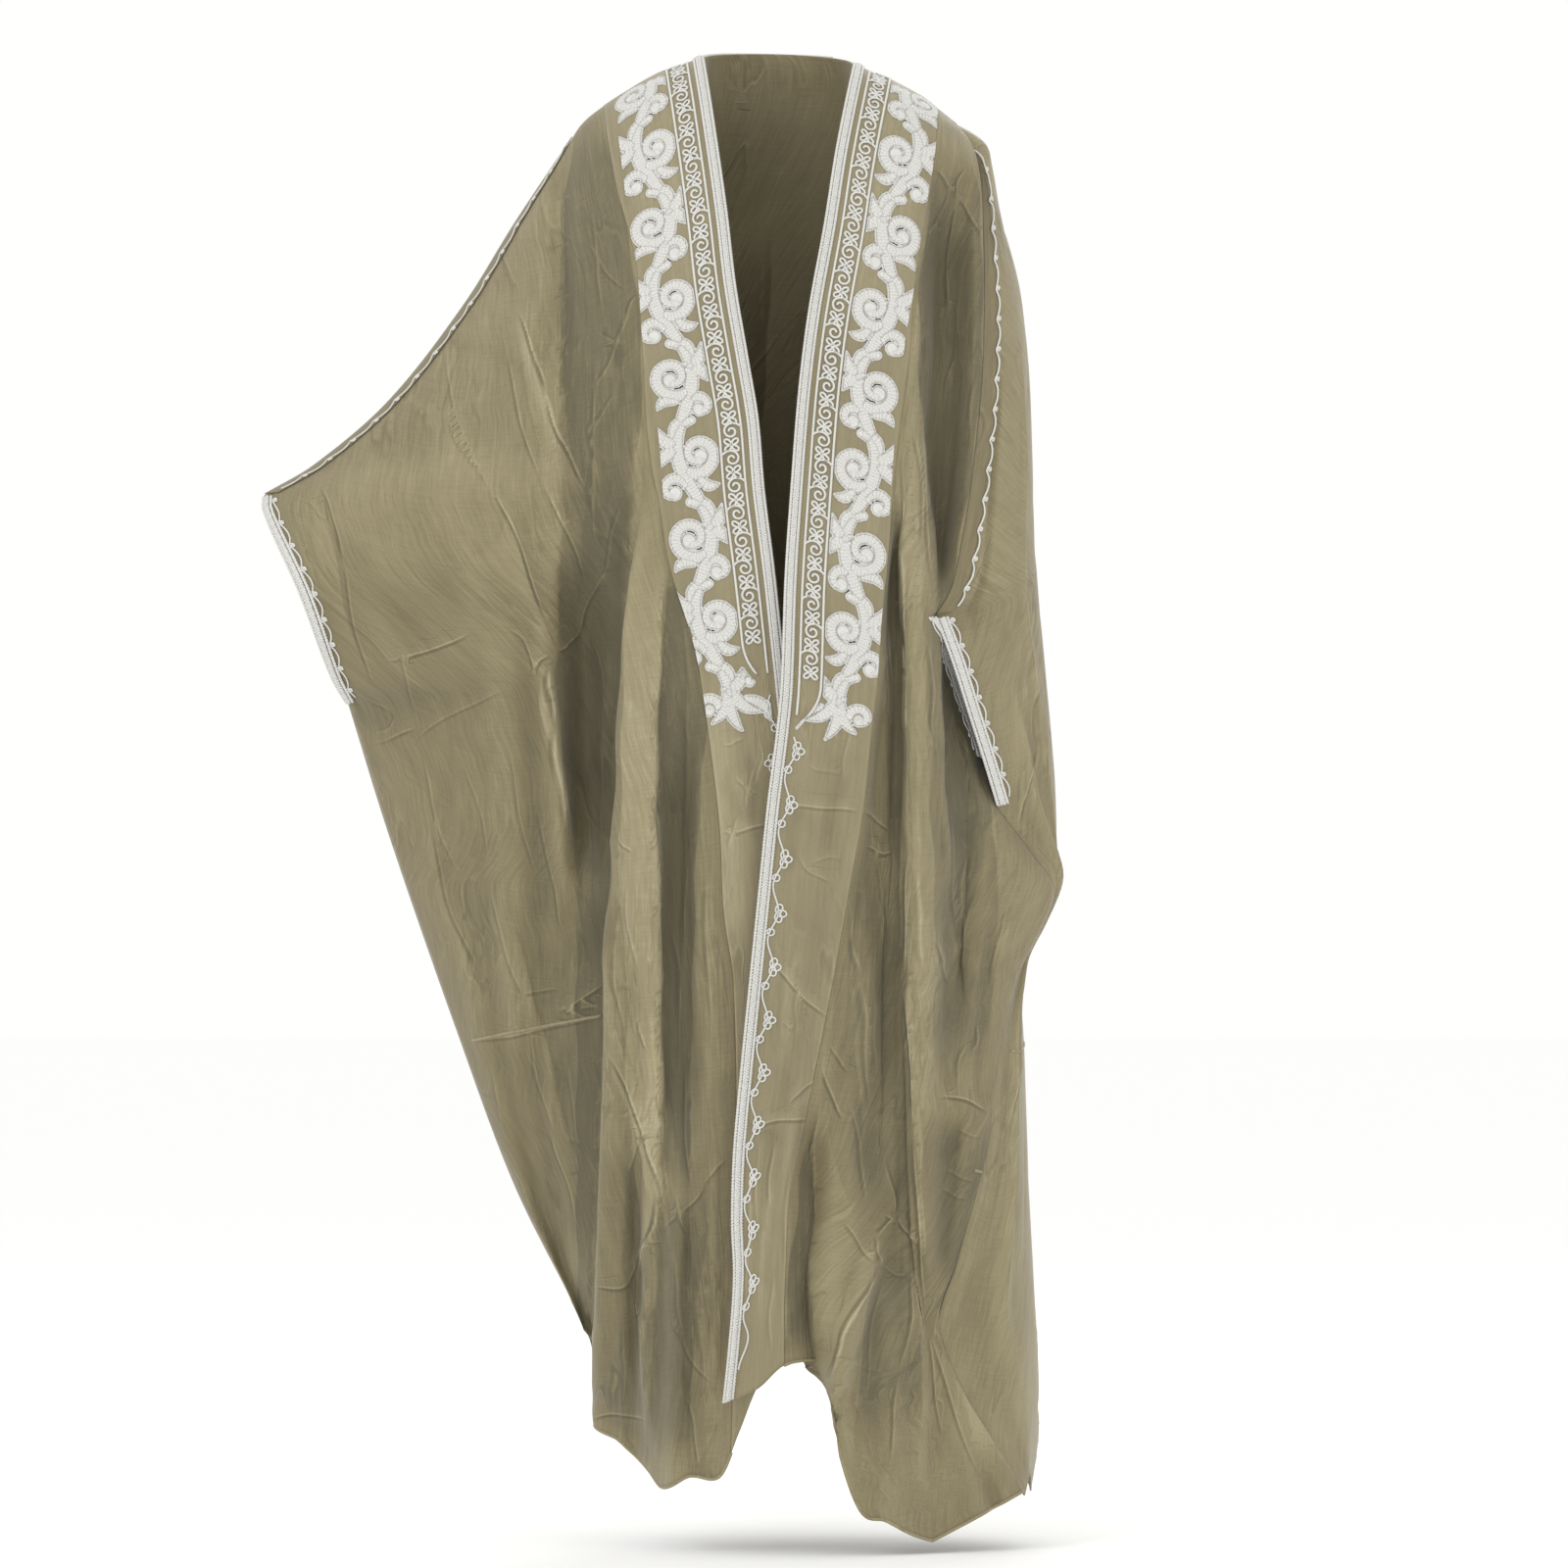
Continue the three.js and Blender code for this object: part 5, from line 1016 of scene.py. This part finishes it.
def turned_edges(name, points, outward, tuck_z, tuck_across):
    """The rolled hem along the foot of a panel, and the fold of its sewn tuck."""
    directions = normals_of(points, outward)
    across = np.flatnonzero(tuck_across)
    row = np.array([np.interp(-tuck_z[j], -points[:, j, 2] / MM, np.arange(len(points))) for j in across])
    low, part = np.floor(row).astype(int), (row % 1)[:, None]
    runs = [(points[-1] - directions[-1] * 0.0004, directions[-1])]
    runs.append((mix(points[low, across], points[low + 1, across], part) + directions[low, across] * 0.0002,
                 directions[low, across]))
    return cords(f"{name}_turned_edges", runs, 0.0017, 0.55, VOILE, tone=HEM_TONE)


# ---------------------------------------------------------------- the cloth
def marks(*stretches):
    """Row or column places: (from, to, count) stretches, one after another."""
    parts = [np.linspace(start, stop, count, endpoint=False) for start, stop, count in stretches]
    return np.concatenate(parts + [[stretches[-1][1]]])


def panel_rows(top, foot):
    """Rows down a panel, closest together at the shoulder: down the arm, over the cuff, to the hem."""
    return np.concatenate([np.linspace(0, 1, top, endpoint=False) ** 1.35, marks((1, 2, 36), (2, 3, foot))])


ROWS = panel_rows(76, 118)
BACK_ROWS = panel_rows(72, 112)
BAND_COLUMNS = marks((0, 1, 40))
PANEL_COLUMNS = marks((1, 1.72, 38), (1.72, 2.3, 54), (2.3, 3, 54))
BACK_COLUMNS = marks((0, 1, 52), (1, 2, 44), (2, 3, 36))
# millimetres round the back at each whole place across it
BACK_ROUND = [0, 440, 880, 1090]
# each front with its folds, creases, fold edges and panes, and where its sewn tuck shows: from one x to
# another, and its height at each
HALVES = {"right": (RIGHT, FOLDS_RIGHT, CREASES_RIGHT, EDGES_RIGHT, PANES_RIGHT, 31,
                    (-324, -178), (-1006, -979)),
          "left": (LEFT, FOLDS_LEFT, CREASES_LEFT, EDGES_LEFT, PANES_LEFT, 47,
                   (205, 250), (-1136, -1144))}


def dressed(points, outward, height):
    """Points moved out by a height in millimetres, and how far each then stands out of its surroundings."""
    moved = points + normals_of(points, outward) * (height * MM)[..., None]
    middle = np.stack([blurred(moved[..., c], 10) for c in range(3)], axis=-1)
    stands = np.sum((moved - middle) * normals_of(middle, outward), axis=-1) / MM
    return moved, stands


def dressed_panel(base, x, outward, calm, folds, creases, edges, layers, shade_areas, crumpled, painted_shade_range):
    """A panel with its folds and creases: its points, and the amounts that its finish reads, with painted
    shade in its hollows and painted light where it stands out.
    """
    z = base[..., 2] / MM
    edge_height, tone, step, near = layered(layers, edges, x, z)
    crease_height, off, rise = crisp_strokes(creases, x, z)
    seed, count, size = crumpled
    small = crumple(seed, x, z, count, size)
    points, stands = dressed(base, outward, calm * (folds(x, z) + edge_height + crease_height + small))
    # painted shade and light: darker where the cloth lies below its surroundings, lighter where it stands
    # out, within these limits
    reach, darkest, lightest = painted_shade_range
    tone = PANEL_TONE + tone + soft_strokes(shade_areas, x, z) + np.clip(stands / reach, darkest, lightest) * calm
    return points, {"tone": tone, "step": step, "near": near, "crease": off, "rise": rise * calm}


def free_of_sides(columns, low, high, near_low, near_high):
    """0 at both sides of a panel, so that it meets its neighbours there, and 1 away from them."""
    return (smooth((high - columns) / near_high) * smooth((columns - low) / near_low))[None, :]


def cloth_uv(points, start=0.0):
    return np.stack([lengths_along(points, 1) + start, lengths_along(points, 0)], axis=-1)


# how far down a panel the x places for its sewn tuck are read
TUCK_ROW = 0.72

laid_bands, laid_arms, laid_cuffs = {}, {}, {}
arm, cuff = ROWS <= 1.0, (ROWS >= 0.99) & (ROWS <= 2.0)

for name, (half, folds, creases, edges, layers, seed, tuck_x, tuck_z) in HALVES.items():
    outward = -half["side"]

    base = grid(lambda a, d: front_point(half, a, d), PANEL_COLUMNS, ROWS)
    x = base[..., 0] / MM
    calm = free_of_sides(PANEL_COLUMNS, 1, 3, 0.16, 0.22) * smooth(lengths_along(base, 0) / 0.05)
    points, painted = dressed_panel(base, x, outward, calm, lambda x, z: 0.6 * soft_strokes(folds, x, z),
                                    creases, edges, layers, [], (seed, 190, 1.5), (40, -0.09, 0.08))
    cloth_piece(f"front_{name}_cloth", points, cloth_uv(points, BAND_WIDTH * MM), painted, outward,
                CLOTH_WALL, VOILE, [f"front_{name}"])
    low_x = x[int(len(x) * TUCK_ROW)]
    turned_edges(f"front_{name}", points, outward, np.interp(low_x, tuck_x, tuck_z),
                 (low_x > tuck_x[0]) & (low_x < tuck_x[1]))
    from_side = points[:, ::-1]
    laid_arms[name] = Laid(from_side[arm], 0.06, -outward)
    laid_cuffs[f"{name}_front"] = Laid(from_side[cuff], 0.05, -outward)

    base = grid(lambda a, d: front_point(half, a, d), BAND_COLUMNS, ROWS)
    x, z = base[..., 0] / MM, base[..., 2] / MM
    calm = free_of_sides(BAND_COLUMNS, 0, 1, 0.25, 0.2)
    crease_height, off, rise = crisp_strokes(CREASES_BAND, x, z)
    height = calm * (crease_height + crumple(seed + 5, x, z, 46, 0.9)) + 0.5
    points, stands = dressed(base, outward, height)
    hemmed = np.exp(-((1 - BAND_COLUMNS[None, :]) * BAND_WIDTH / 2.4) ** 2)
    # the band's tone: painted shade in its hollows and painted light where it stands out, with patches of
    # painted shade and light along its folds
    tone = BAND_TONE + soft_strokes(SHADE_AND_LIGHT_BAND, x, z) + np.clip(stands / 12, -0.12, 0.12) * calm \
        + 0.2 * hemmed
    painted = {"tone": tone, "crease": off, "rise": rise}
    cloth_piece(f"band_{name}_cloth", points, cloth_uv(points), painted, outward, BAND_WALL,
                DOUBLE_VOILE, [f"front_band_{name}"])
    laid_bands[name] = Laid(points, 0.104, outward)

base = grid(back_point, BACK_COLUMNS, BACK_ROWS)
u = np.broadcast_to(at_break(BACK_ROUND, BACK_COLUMNS)[None, :], base.shape[:2])
calm = free_of_sides(BACK_COLUMNS, 0, 3, 0.12, 0.12) * smooth(lengths_along(base, 0) / 0.07)
back_points, painted = dressed_panel(base, u, 1, calm, lambda x, z: soft_strokes(FOLDS_BACK, x, z),
                                     CREASES_BACK, EDGES_BACK, [], SHADE_AND_LIGHT_BACK, (83, 230, 1.7),
                                     (24, -0.13, 0.12))
cloth_piece("back_cloth", back_points, cloth_uv(back_points), painted, 1, CLOTH_WALL, VOILE,
            ["back"])
turned_edges("back", back_points, 1, -1006 + 10 * np.sin(u[0] * 0.011), (u[0] > 8) & (u[0] < 1040))
cuff = (BACK_ROWS >= 0.99) & (BACK_ROWS <= 2.0)
from_side = back_points[:, ::-1]
laid_cuffs["right_back"] = Laid(back_points[cuff][:, :24], 0.05, 1)
laid_cuffs["left_back"] = Laid(from_side[cuff][:, :24], 0.05, -1)
# the left arm's seam lies on the back, so its strip does
laid_arms["left"] = Laid(from_side[BACK_ROWS <= 1.0][:, :28], 0.06, -1)

# the band round the back of the neck, laid on the back, and its width in metres
NECK_BAND_WIDTH = 0.062
neck_across = marks((0.30, 1.72, 110))
neck_down = marks((0.0, 0.42, 44))
neck_lift = np.full((len(neck_down), len(neck_across)), 0.9)
neck_base, _ = dressed(grid(back_point, neck_across, neck_down), 1, neck_lift)
neck_laid = Laid(neck_base.transpose(1, 0, 2), 0.075, -1)
yoke = neck_laid.points[::2, :int(NECK_BAND_WIDTH / Laid.STEP_S)]
cloth_piece("neck_band_cloth", yoke, cloth_uv(yoke), {"tone": np.full(yoke.shape[:2], NECK_TONE)}, -1,
            BAND_WALL, DOUBLE_VOILE, ["neck_band_back"])


# ---------------------------------------------------------------- couched cord work
def along(start, stop, step):
    return np.linspace(start, stop, max(2, int(abs(stop - start) / step) + 1))


def plait(start, stop, middle, sway, pitch, lift=1.3):
    """Three strands that cross over and under each other."""
    t = along(start, stop, pitch / 7)
    phases = [2 * np.pi * (t / pitch + strand / 3) for strand in range(3)]
    return [path(middle + sway * np.sin(phase), t, lift + 0.75 * np.sin(2 * phase)) for phase in phases]


COUCHED = 0.15


def path(s, t, lift=COUCHED):
    """A cord in the cloth's own millimetres: s in from the edge, t along it, and its lift."""
    return np.stack([s, t, lift + 0 * s], axis=1)


def edge_braid(start, stop, width):
    """Plaited braid between two twisted cords."""
    lines = plait(start, stop, width / 2, width * 0.2, 8.4)
    for side in (1.1, width - 1.1):
        t = along(start, stop, 1.65)
        for half_turn in (0, np.pi):
            turn = 2 * np.pi * t / 6.6 + half_turn
            lines.append(path(side + 0.75 * np.sin(turn), t, 0.5 + 0.6 * np.cos(turn)))
    return lines


def spiral(s, t, radius, start, turns, points=30, inner=0.2, tail=0.0):
    """A coil from its outer end inwards."""
    share = np.linspace(0, 1, points)
    angle = np.radians(start) + 2 * np.pi * turns * share
    r = radius * (1 - (1 - inner) * share ** 0.85) + tail * np.clip(1 - share * 5, 0, 1) ** 2
    return path(s + r * np.cos(angle), t + r * np.sin(angle))


def knot(s, t, size, points=33):
    """Four loops drawn with one cord."""
    angle = np.linspace(0, 2 * np.pi, points)
    r = size * np.cos(2 * angle)
    turned = angle + np.pi / 4
    return path(s + r * np.cos(turned) * 1.12, t + r * np.sin(turned))


def lattice(start, stop, middle=29.5, half=11.2, pitch=28):
    """Spirals and four-looped knots by turns, between two thin cords that meet at the foot."""
    t = along(start, stop, 4)
    closing = 1 - np.clip((t - (stop - 34)) / 34, 0, 1) ** 2.2
    lines = [path(middle - half + 0 * t, t), path(middle + half * closing, t)]
    for k in range(int((stop - 26 - start) / pitch)):
        at = start + 9 + k * pitch
        way = 1 if k % 2 else -1
        lines.append(spiral(middle - 0.5 * way, at, 9.2, 200 if way > 0 else -20, 1.45 * way, tail=2.0))
        lines.append(knot(middle, at + pitch / 2, 8.2))
    return lines


def loop(s, t, radius, points=15):
    angle = np.linspace(0, 2 * np.pi, points)
    return path(s + radius * np.cos(angle), t + radius * np.sin(angle))


def petal(s, t, reach, lean, points=13):
    """One loop of a trefoil, from its foot outward."""
    angle = np.linspace(0, 2 * np.pi, points)
    out, off = reach * (1 - np.cos(angle)) / 2, reach * 0.36 * np.sin(angle)
    c, d = math.cos(math.radians(lean)), math.sin(math.radians(lean))
    return path(s + out * c - off * d, t + out * d + off * c)


def vine(start, stop, away, pitch=55):
    """A winding cord with a ring and a trefoil by turns."""
    t = along(start, stop, 2.2)
    lines = [path(away + 4.0 + 4.0 * np.sin(2 * np.pi * (t - start) / pitch), t)]
    for k in range(int((stop - start) / pitch)):
        at = start + k * pitch
        lines.append(loop(away + 2.4, at + pitch * 0.62, 3.6))
        lines += [petal(away + 7.0, at + pitch * 0.26, 9.4, lean) for lean in (-72, 0, 72)]
    return lines


def scallops(start, stop, away, bulge, pitch, lift=COUCHED):
    """A cord in shallow arcs, with a coiled dot where the arcs meet."""
    t = along(start, stop, 2.4)
    lines = [path(away + bulge * np.abs(np.sin(np.pi * (t - start) / pitch)), t)]
    for k in range(int((stop - start) / pitch) + 1):
        lines.append(spiral(away + 3.4, start + k * pitch, 2.9, 180, 1.7, points=17, inner=0.15))
    return [line + np.array([0, 0, lift - COUCHED]) for line in lines]


for name in ("right", "left"):
    band = laid_bands[name]
    full = band.length / MM
    cord_piece(f"edge_braid_{name}_plait", band, edge_braid(1, full - 2, 11.6), 0.0012,
               [f"edge_braid_{name}"])
    foot = 680 if name == "right" else 715
    cord_piece(f"lattice_{name}_cords", band, lattice(3, foot), 0.0013, [f"lattice_band_{name}"])
    cord_piece(f"vine_{name}_cord", band, vine(foot + 22, full - 30, 14), 0.0010)

neck_length = neck_laid.length / MM
neck_start, neck_stop = 0.245 * neck_length, 0.755 * neck_length
cord_piece("neck_braid_plait", neck_laid, edge_braid(neck_start, neck_stop, 14), 0.0014, ["neck_braid_back"])
cord_piece("neck_lattice_cords", neck_laid, lattice(neck_start + 2, neck_stop - 2), 0.0013)

for place in ("right_front", "right_back", "left_front", "left_back"):
    laid = laid_cuffs[place]
    full = laid.length / MM
    stop = full - (58 if place == "left_front" else 4)
    cord_piece(f"cuff_{place}_plait", laid, edge_braid(3, stop, 13), 0.0014, [f"cuff_braid_{place}"])
    cord_piece(f"cuff_{place}_scallops", laid, scallops(8, stop - 6, 13.5, 5.2, 28), 0.0010)

# cords on the arm strips are raised over the strip; width of each strip in metres
STRIP_LIFT = 1.5
for name, away, strip_width in (("right", 13.5, 0.0215), ("left", 15.5, 0.0195)):
    laid = laid_arms[name]
    full = laid.length / MM
    columns = int(strip_width / Laid.STEP_S)
    strip = laid.points[4::2, :columns] + laid.normals[4::2, :columns] * 0.0009
    cloth_piece(f"arm_{name}_strip", strip, cloth_uv(strip), {"tone": np.full(strip.shape[:2], STRIP_TONE)},
                -1 if name == "left" else 1, STRIP_WALL, VOILE, [f"arm_strip_{name}"])
    cord_piece(f"arm_{name}_cord", laid, scallops(16, full - 8, away, 5.0, 31, STRIP_LIFT), 0.0010)


# ---------------------------------------------------------------- scroll applique
# in millimetres: where the lattice ends and the scrolls begin, and how far the strokes are swollen
LATTICE_END = 41
SCROLL_SWELL = 0.9
SCROLL_CENTRE, SCROLL_TOP, SCROLL_REPEAT, SCROLL_COUNT = 72, 26, 168, 4
# volutes: middle, radius, start angle, turns and width of the stroke
VOLUTES = [
    (7, 6, 22, 118, -1.22, 14), (-7, 90, 21, 62, 1.22, 14), (-15, 41, 14, -22, -0.78, 12.5),
    (20, 125, 15, 202, 0.78, 12.5)]
# leaves: from one point to another, bow, and width
LEAVES = [
    (-10, 162, -28, 143, -6, 15), (-10, 1, -28, 14, 5, 15), (12, 78, 31, 60, 6, 15),
    (12, 86, 31, 99, -5, 15), (4, 138, -18, 159, 7, 14), (-4, 54, 18, 75, -7, 14),
    (-8, 114, -27, 122, -5, 12), (8, 32, 28, 39, -5, 12)]
# leaves and curls that end the work, after the last repeat
END_LEAVES = [
    (-13, -6, -44, 20, -6, 14), (-12, -4, -22, 38, -5, 14), (-10, -2, 8, 28, 5, 13),
    (-30, 6, -52, 30, 6, 12)]
END_CURLS = [
    (11, 12, 12, 190, 0.85, 12), (-34, -14, 10, 20, -0.8, 11)]


def leaf(s0, t0, s1, t1, bow, width, points=15):
    """A bowed leaf, widest near its foot."""
    share = np.linspace(0, 1, points)
    length = math.hypot(s1 - s0, t1 - t0)
    out = bow * np.sin(np.pi * share)
    s = mix(s0, s1, share) - out * (t1 - t0) / length
    t = mix(t0, t1, share) + out * (s1 - s0) / length
    return np.stack([s, t, width / 2 * np.sin(np.pi * (0.22 + 0.73 * share)) ** 0.9], axis=1)


def curl(s, t, radius, start, turns, width):
    """A volute that thickens to a ball at its eye."""
    share = np.linspace(0, 1, 46)
    turn = np.radians(start + 360 * turns * share)
    r = radius * (1 - 0.8 * share ** 0.9)
    swell = 1 - 0.36 * share + 0.5 * smooth((share - 0.8) / 0.2)
    return np.stack([s + r * np.cos(turn), t + r * np.sin(turn), width / 2 * swell], axis=1)


def scroll_strokes():
    """Middle lines of all strokes on one band, each point with its half width."""
    angle = np.linspace(0, 2 * np.pi, 57)
    stem = np.stack([-13 * np.cos(angle), SCROLL_REPEAT * angle / (2 * np.pi), 6.9 + 0.7 * np.sin(2 * angle)],
                    axis=1)
    repeat = [stem] + [curl(*row) for row in VOLUTES] + [leaf(*row) for row in LEAVES]
    end = [leaf(*row) for row in END_LEAVES] + [curl(*row) for row in END_CURLS]
    return [line + np.array([SCROLL_CENTRE, SCROLL_TOP + k * SCROLL_REPEAT, 0])
            for k in range(SCROLL_COUNT + 1) for line in (repeat if k < SCROLL_COUNT else end)]


def four_corners(values):
    return values[:-1, :-1], values[1:, :-1], values[:-1, 1:], values[1:, 1:]


def scroll_piece(name, stop, step=1.25):
    """The strokes joined into one padded relief: a cord along the outline, chain stitch inside."""
    laid = laid_bands[name]
    s = np.arange(16.5, BAND_WIDTH - 1, step)
    t = np.arange(2, stop, step)
    grid_t, grid_s = np.meshgrid(t, s, indexing="ij")
    inside = np.full(grid_s.shape, -50.0)
    run = np.zeros_like(grid_s)
    for line in scroll_strokes():
        lengths = np.concatenate([[0], np.cumsum(np.hypot(*np.diff(line[:, :2], axis=0).T))])
        low, high = line[:, 1].min() - 12, line[:, 1].max() + 12
        rows = np.flatnonzero((t > low) & (t < high))
        if not len(rows):
            continue
        part = slice(rows[0], rows[-1] + 1)
        ps, pt = grid_s[part], grid_t[part]
        for k in range(len(line) - 1):
            a, b = line[k], line[k + 1]
            ds, dt = b[0] - a[0], b[1] - a[1]
            share = np.clip(((ps - a[0]) * ds + (pt - a[1]) * dt) / max(ds * ds + dt * dt, 1e-9), 0, 1)
            depth = mix(a[2], b[2], share) - np.hypot(ps - a[0] - share * ds, pt - a[1] - share * dt)
            nearer = depth > inside[part]
            inside[part] = np.where(nearer, depth, inside[part])
            run[part] = np.where(nearer, lengths[k] + share * (lengths[k + 1] - lengths[k]), run[part])
    inside += SCROLL_SWELL
    lattice_side = mix(LATTICE_END + 1.5, 15.5, smooth((grid_t - stop + 72) / 46))
    inside = np.minimum(inside, grid_s - lattice_side)
    slope_t, slope_s = np.gradient(inside, step)
    steep = np.maximum(slope_s ** 2 + slope_t ** 2, 0.25)
    on_rim = (inside > -step * 0.75) & (inside < step * 0.45)
    flat_s = np.where(on_rim, grid_s - inside * slope_s / steep, grid_s)
    flat_t = np.where(on_rim, grid_t - inside * slope_t / steep, grid_t)
    depth = np.where(on_rim, 0, np.maximum(inside, 0))
    outline = 1.25 * np.sqrt(np.clip(1 - ((depth - 1.15) / 1.25) ** 2, 0, 1))
    body = 0.3 + 0.8 * smooth((depth - 1.8) / 1.4)
    height = np.where(depth <= 0, 0, np.maximum(outline, np.where(depth > 1.9, body, 0)))
    used = np.logical_and.reduce(four_corners(inside > -step * 0.75))
    used &= sum(four_corners(inside)) / 4 > -step * 0.1
    quads = grid_quads(*grid_s.shape)[used.reshape(-1)]
    rim = (height <= 0).reshape(-1)
    total = grid_s.size
    under = np.where(rim, np.arange(total), np.arange(total) + total)
    quads = np.concatenate([quads, under[quads][:, ::-1]])
    points = np.concatenate([laid.place(flat_s * MM, flat_t * MM, lift * MM)[0].reshape(-1, 3)
                             for lift in (height + 0.1, np.full_like(height, -0.1))])
    pattern = np.stack([run, np.maximum(inside, 0)], axis=-1).reshape(-1, 2) * MM
    taken, number = np.unique(quads, return_inverse=True)
    quads = number.reshape(quads.shape)
    if name == "right":
        quads = quads[:, ::-1]
    uv = pattern[taken % total][quads.reshape(-1)]
    return add_mesh(f"scroll_{name}_applique", points[taken], quads, uv, STITCHED,
                    [f"scroll_applique_{name}"])


scroll_piece("right", 738)
scroll_piece("left", 762)


# ---------------------------------------------------------------- floor, light and camera
FLOOR_Z = -1.525


def stand(kind, name, place, aim, **settings):
    """A light or the camera, at a place and aimed at a point."""
    data = bpy.data.lights.new(name, kind) if kind != "CAMERA" else bpy.data.cameras.new(name)
    for key, value in settings.items():
        setattr(data, key, value)
    made = bpy.data.objects.new(name, data)
    made.location = place
    made.rotation_euler = (Vector(aim) - Vector(place)).to_track_quat("-Z", "Y").to_euler()
    bpy.context.scene.collection.objects.link(made)
    return made


bpy.ops.object.select_all(action="DESELECT")
bpy.ops.mesh.primitive_plane_add(size=40, location=(0, 0, 0))
floor = bpy.context.object
floor.name = "floor"
bpy.ops.object.mode_set(mode="EDIT")
bpy.ops.transform.translate(value=(0, 0, FLOOR_Z))
bpy.ops.object.mode_set(mode="OBJECT")
paper = Finish("pale_floor", Roughness=0.9, Specular_IOR_Level=0.1)
cloudy = paper.node("ShaderNodeTexNoise", {}, {"Scale": 0.7})
shades = [(0.0, (0.98, 0.98, 0.975)), (1.0, (0.99, 0.99, 0.985))]
floor.data.materials.append(paper.feed(Base_Color=paper.ramp(cloudy, shades)))

for name, place, aim, power, width in (("key", (-2.6, -3.6, 2.2), (0.0, 0, -0.6), 48, 2.2),
                                       ("fill", (3.4, -3.0, 0.6), (0.1, 0, -0.7), 14, 2.6),
                                       ("behind", (0.8, 3.6, 2.0), (0.0, 0, -0.6), 40, 2.4)):
    stand("AREA", name, place, aim, energy=power, shape="RECTANGLE", size=width, size_y=width)
world = bpy.data.worlds.new("studio")
world.use_nodes = True
world.node_tree.nodes["Background"].inputs["Color"].default_value = (1, 1, 0.99, 1)
world.node_tree.nodes["Background"].inputs["Strength"].default_value = 1.0
bpy.context.scene.world = world
bpy.context.scene.view_settings.view_transform = "Standard"

CAMERA_AWAY = 10.0
FRAME_WIDTH = 1.6
bpy.context.scene.camera = stand("CAMERA", "camera", (0.005, -CAMERA_AWAY, -0.743), (0.005, 0, -0.743),
                                 sensor_width=36, lens=36 * (CAMERA_AWAY - 0.06) / FRAME_WIDTH, clip_end=60)
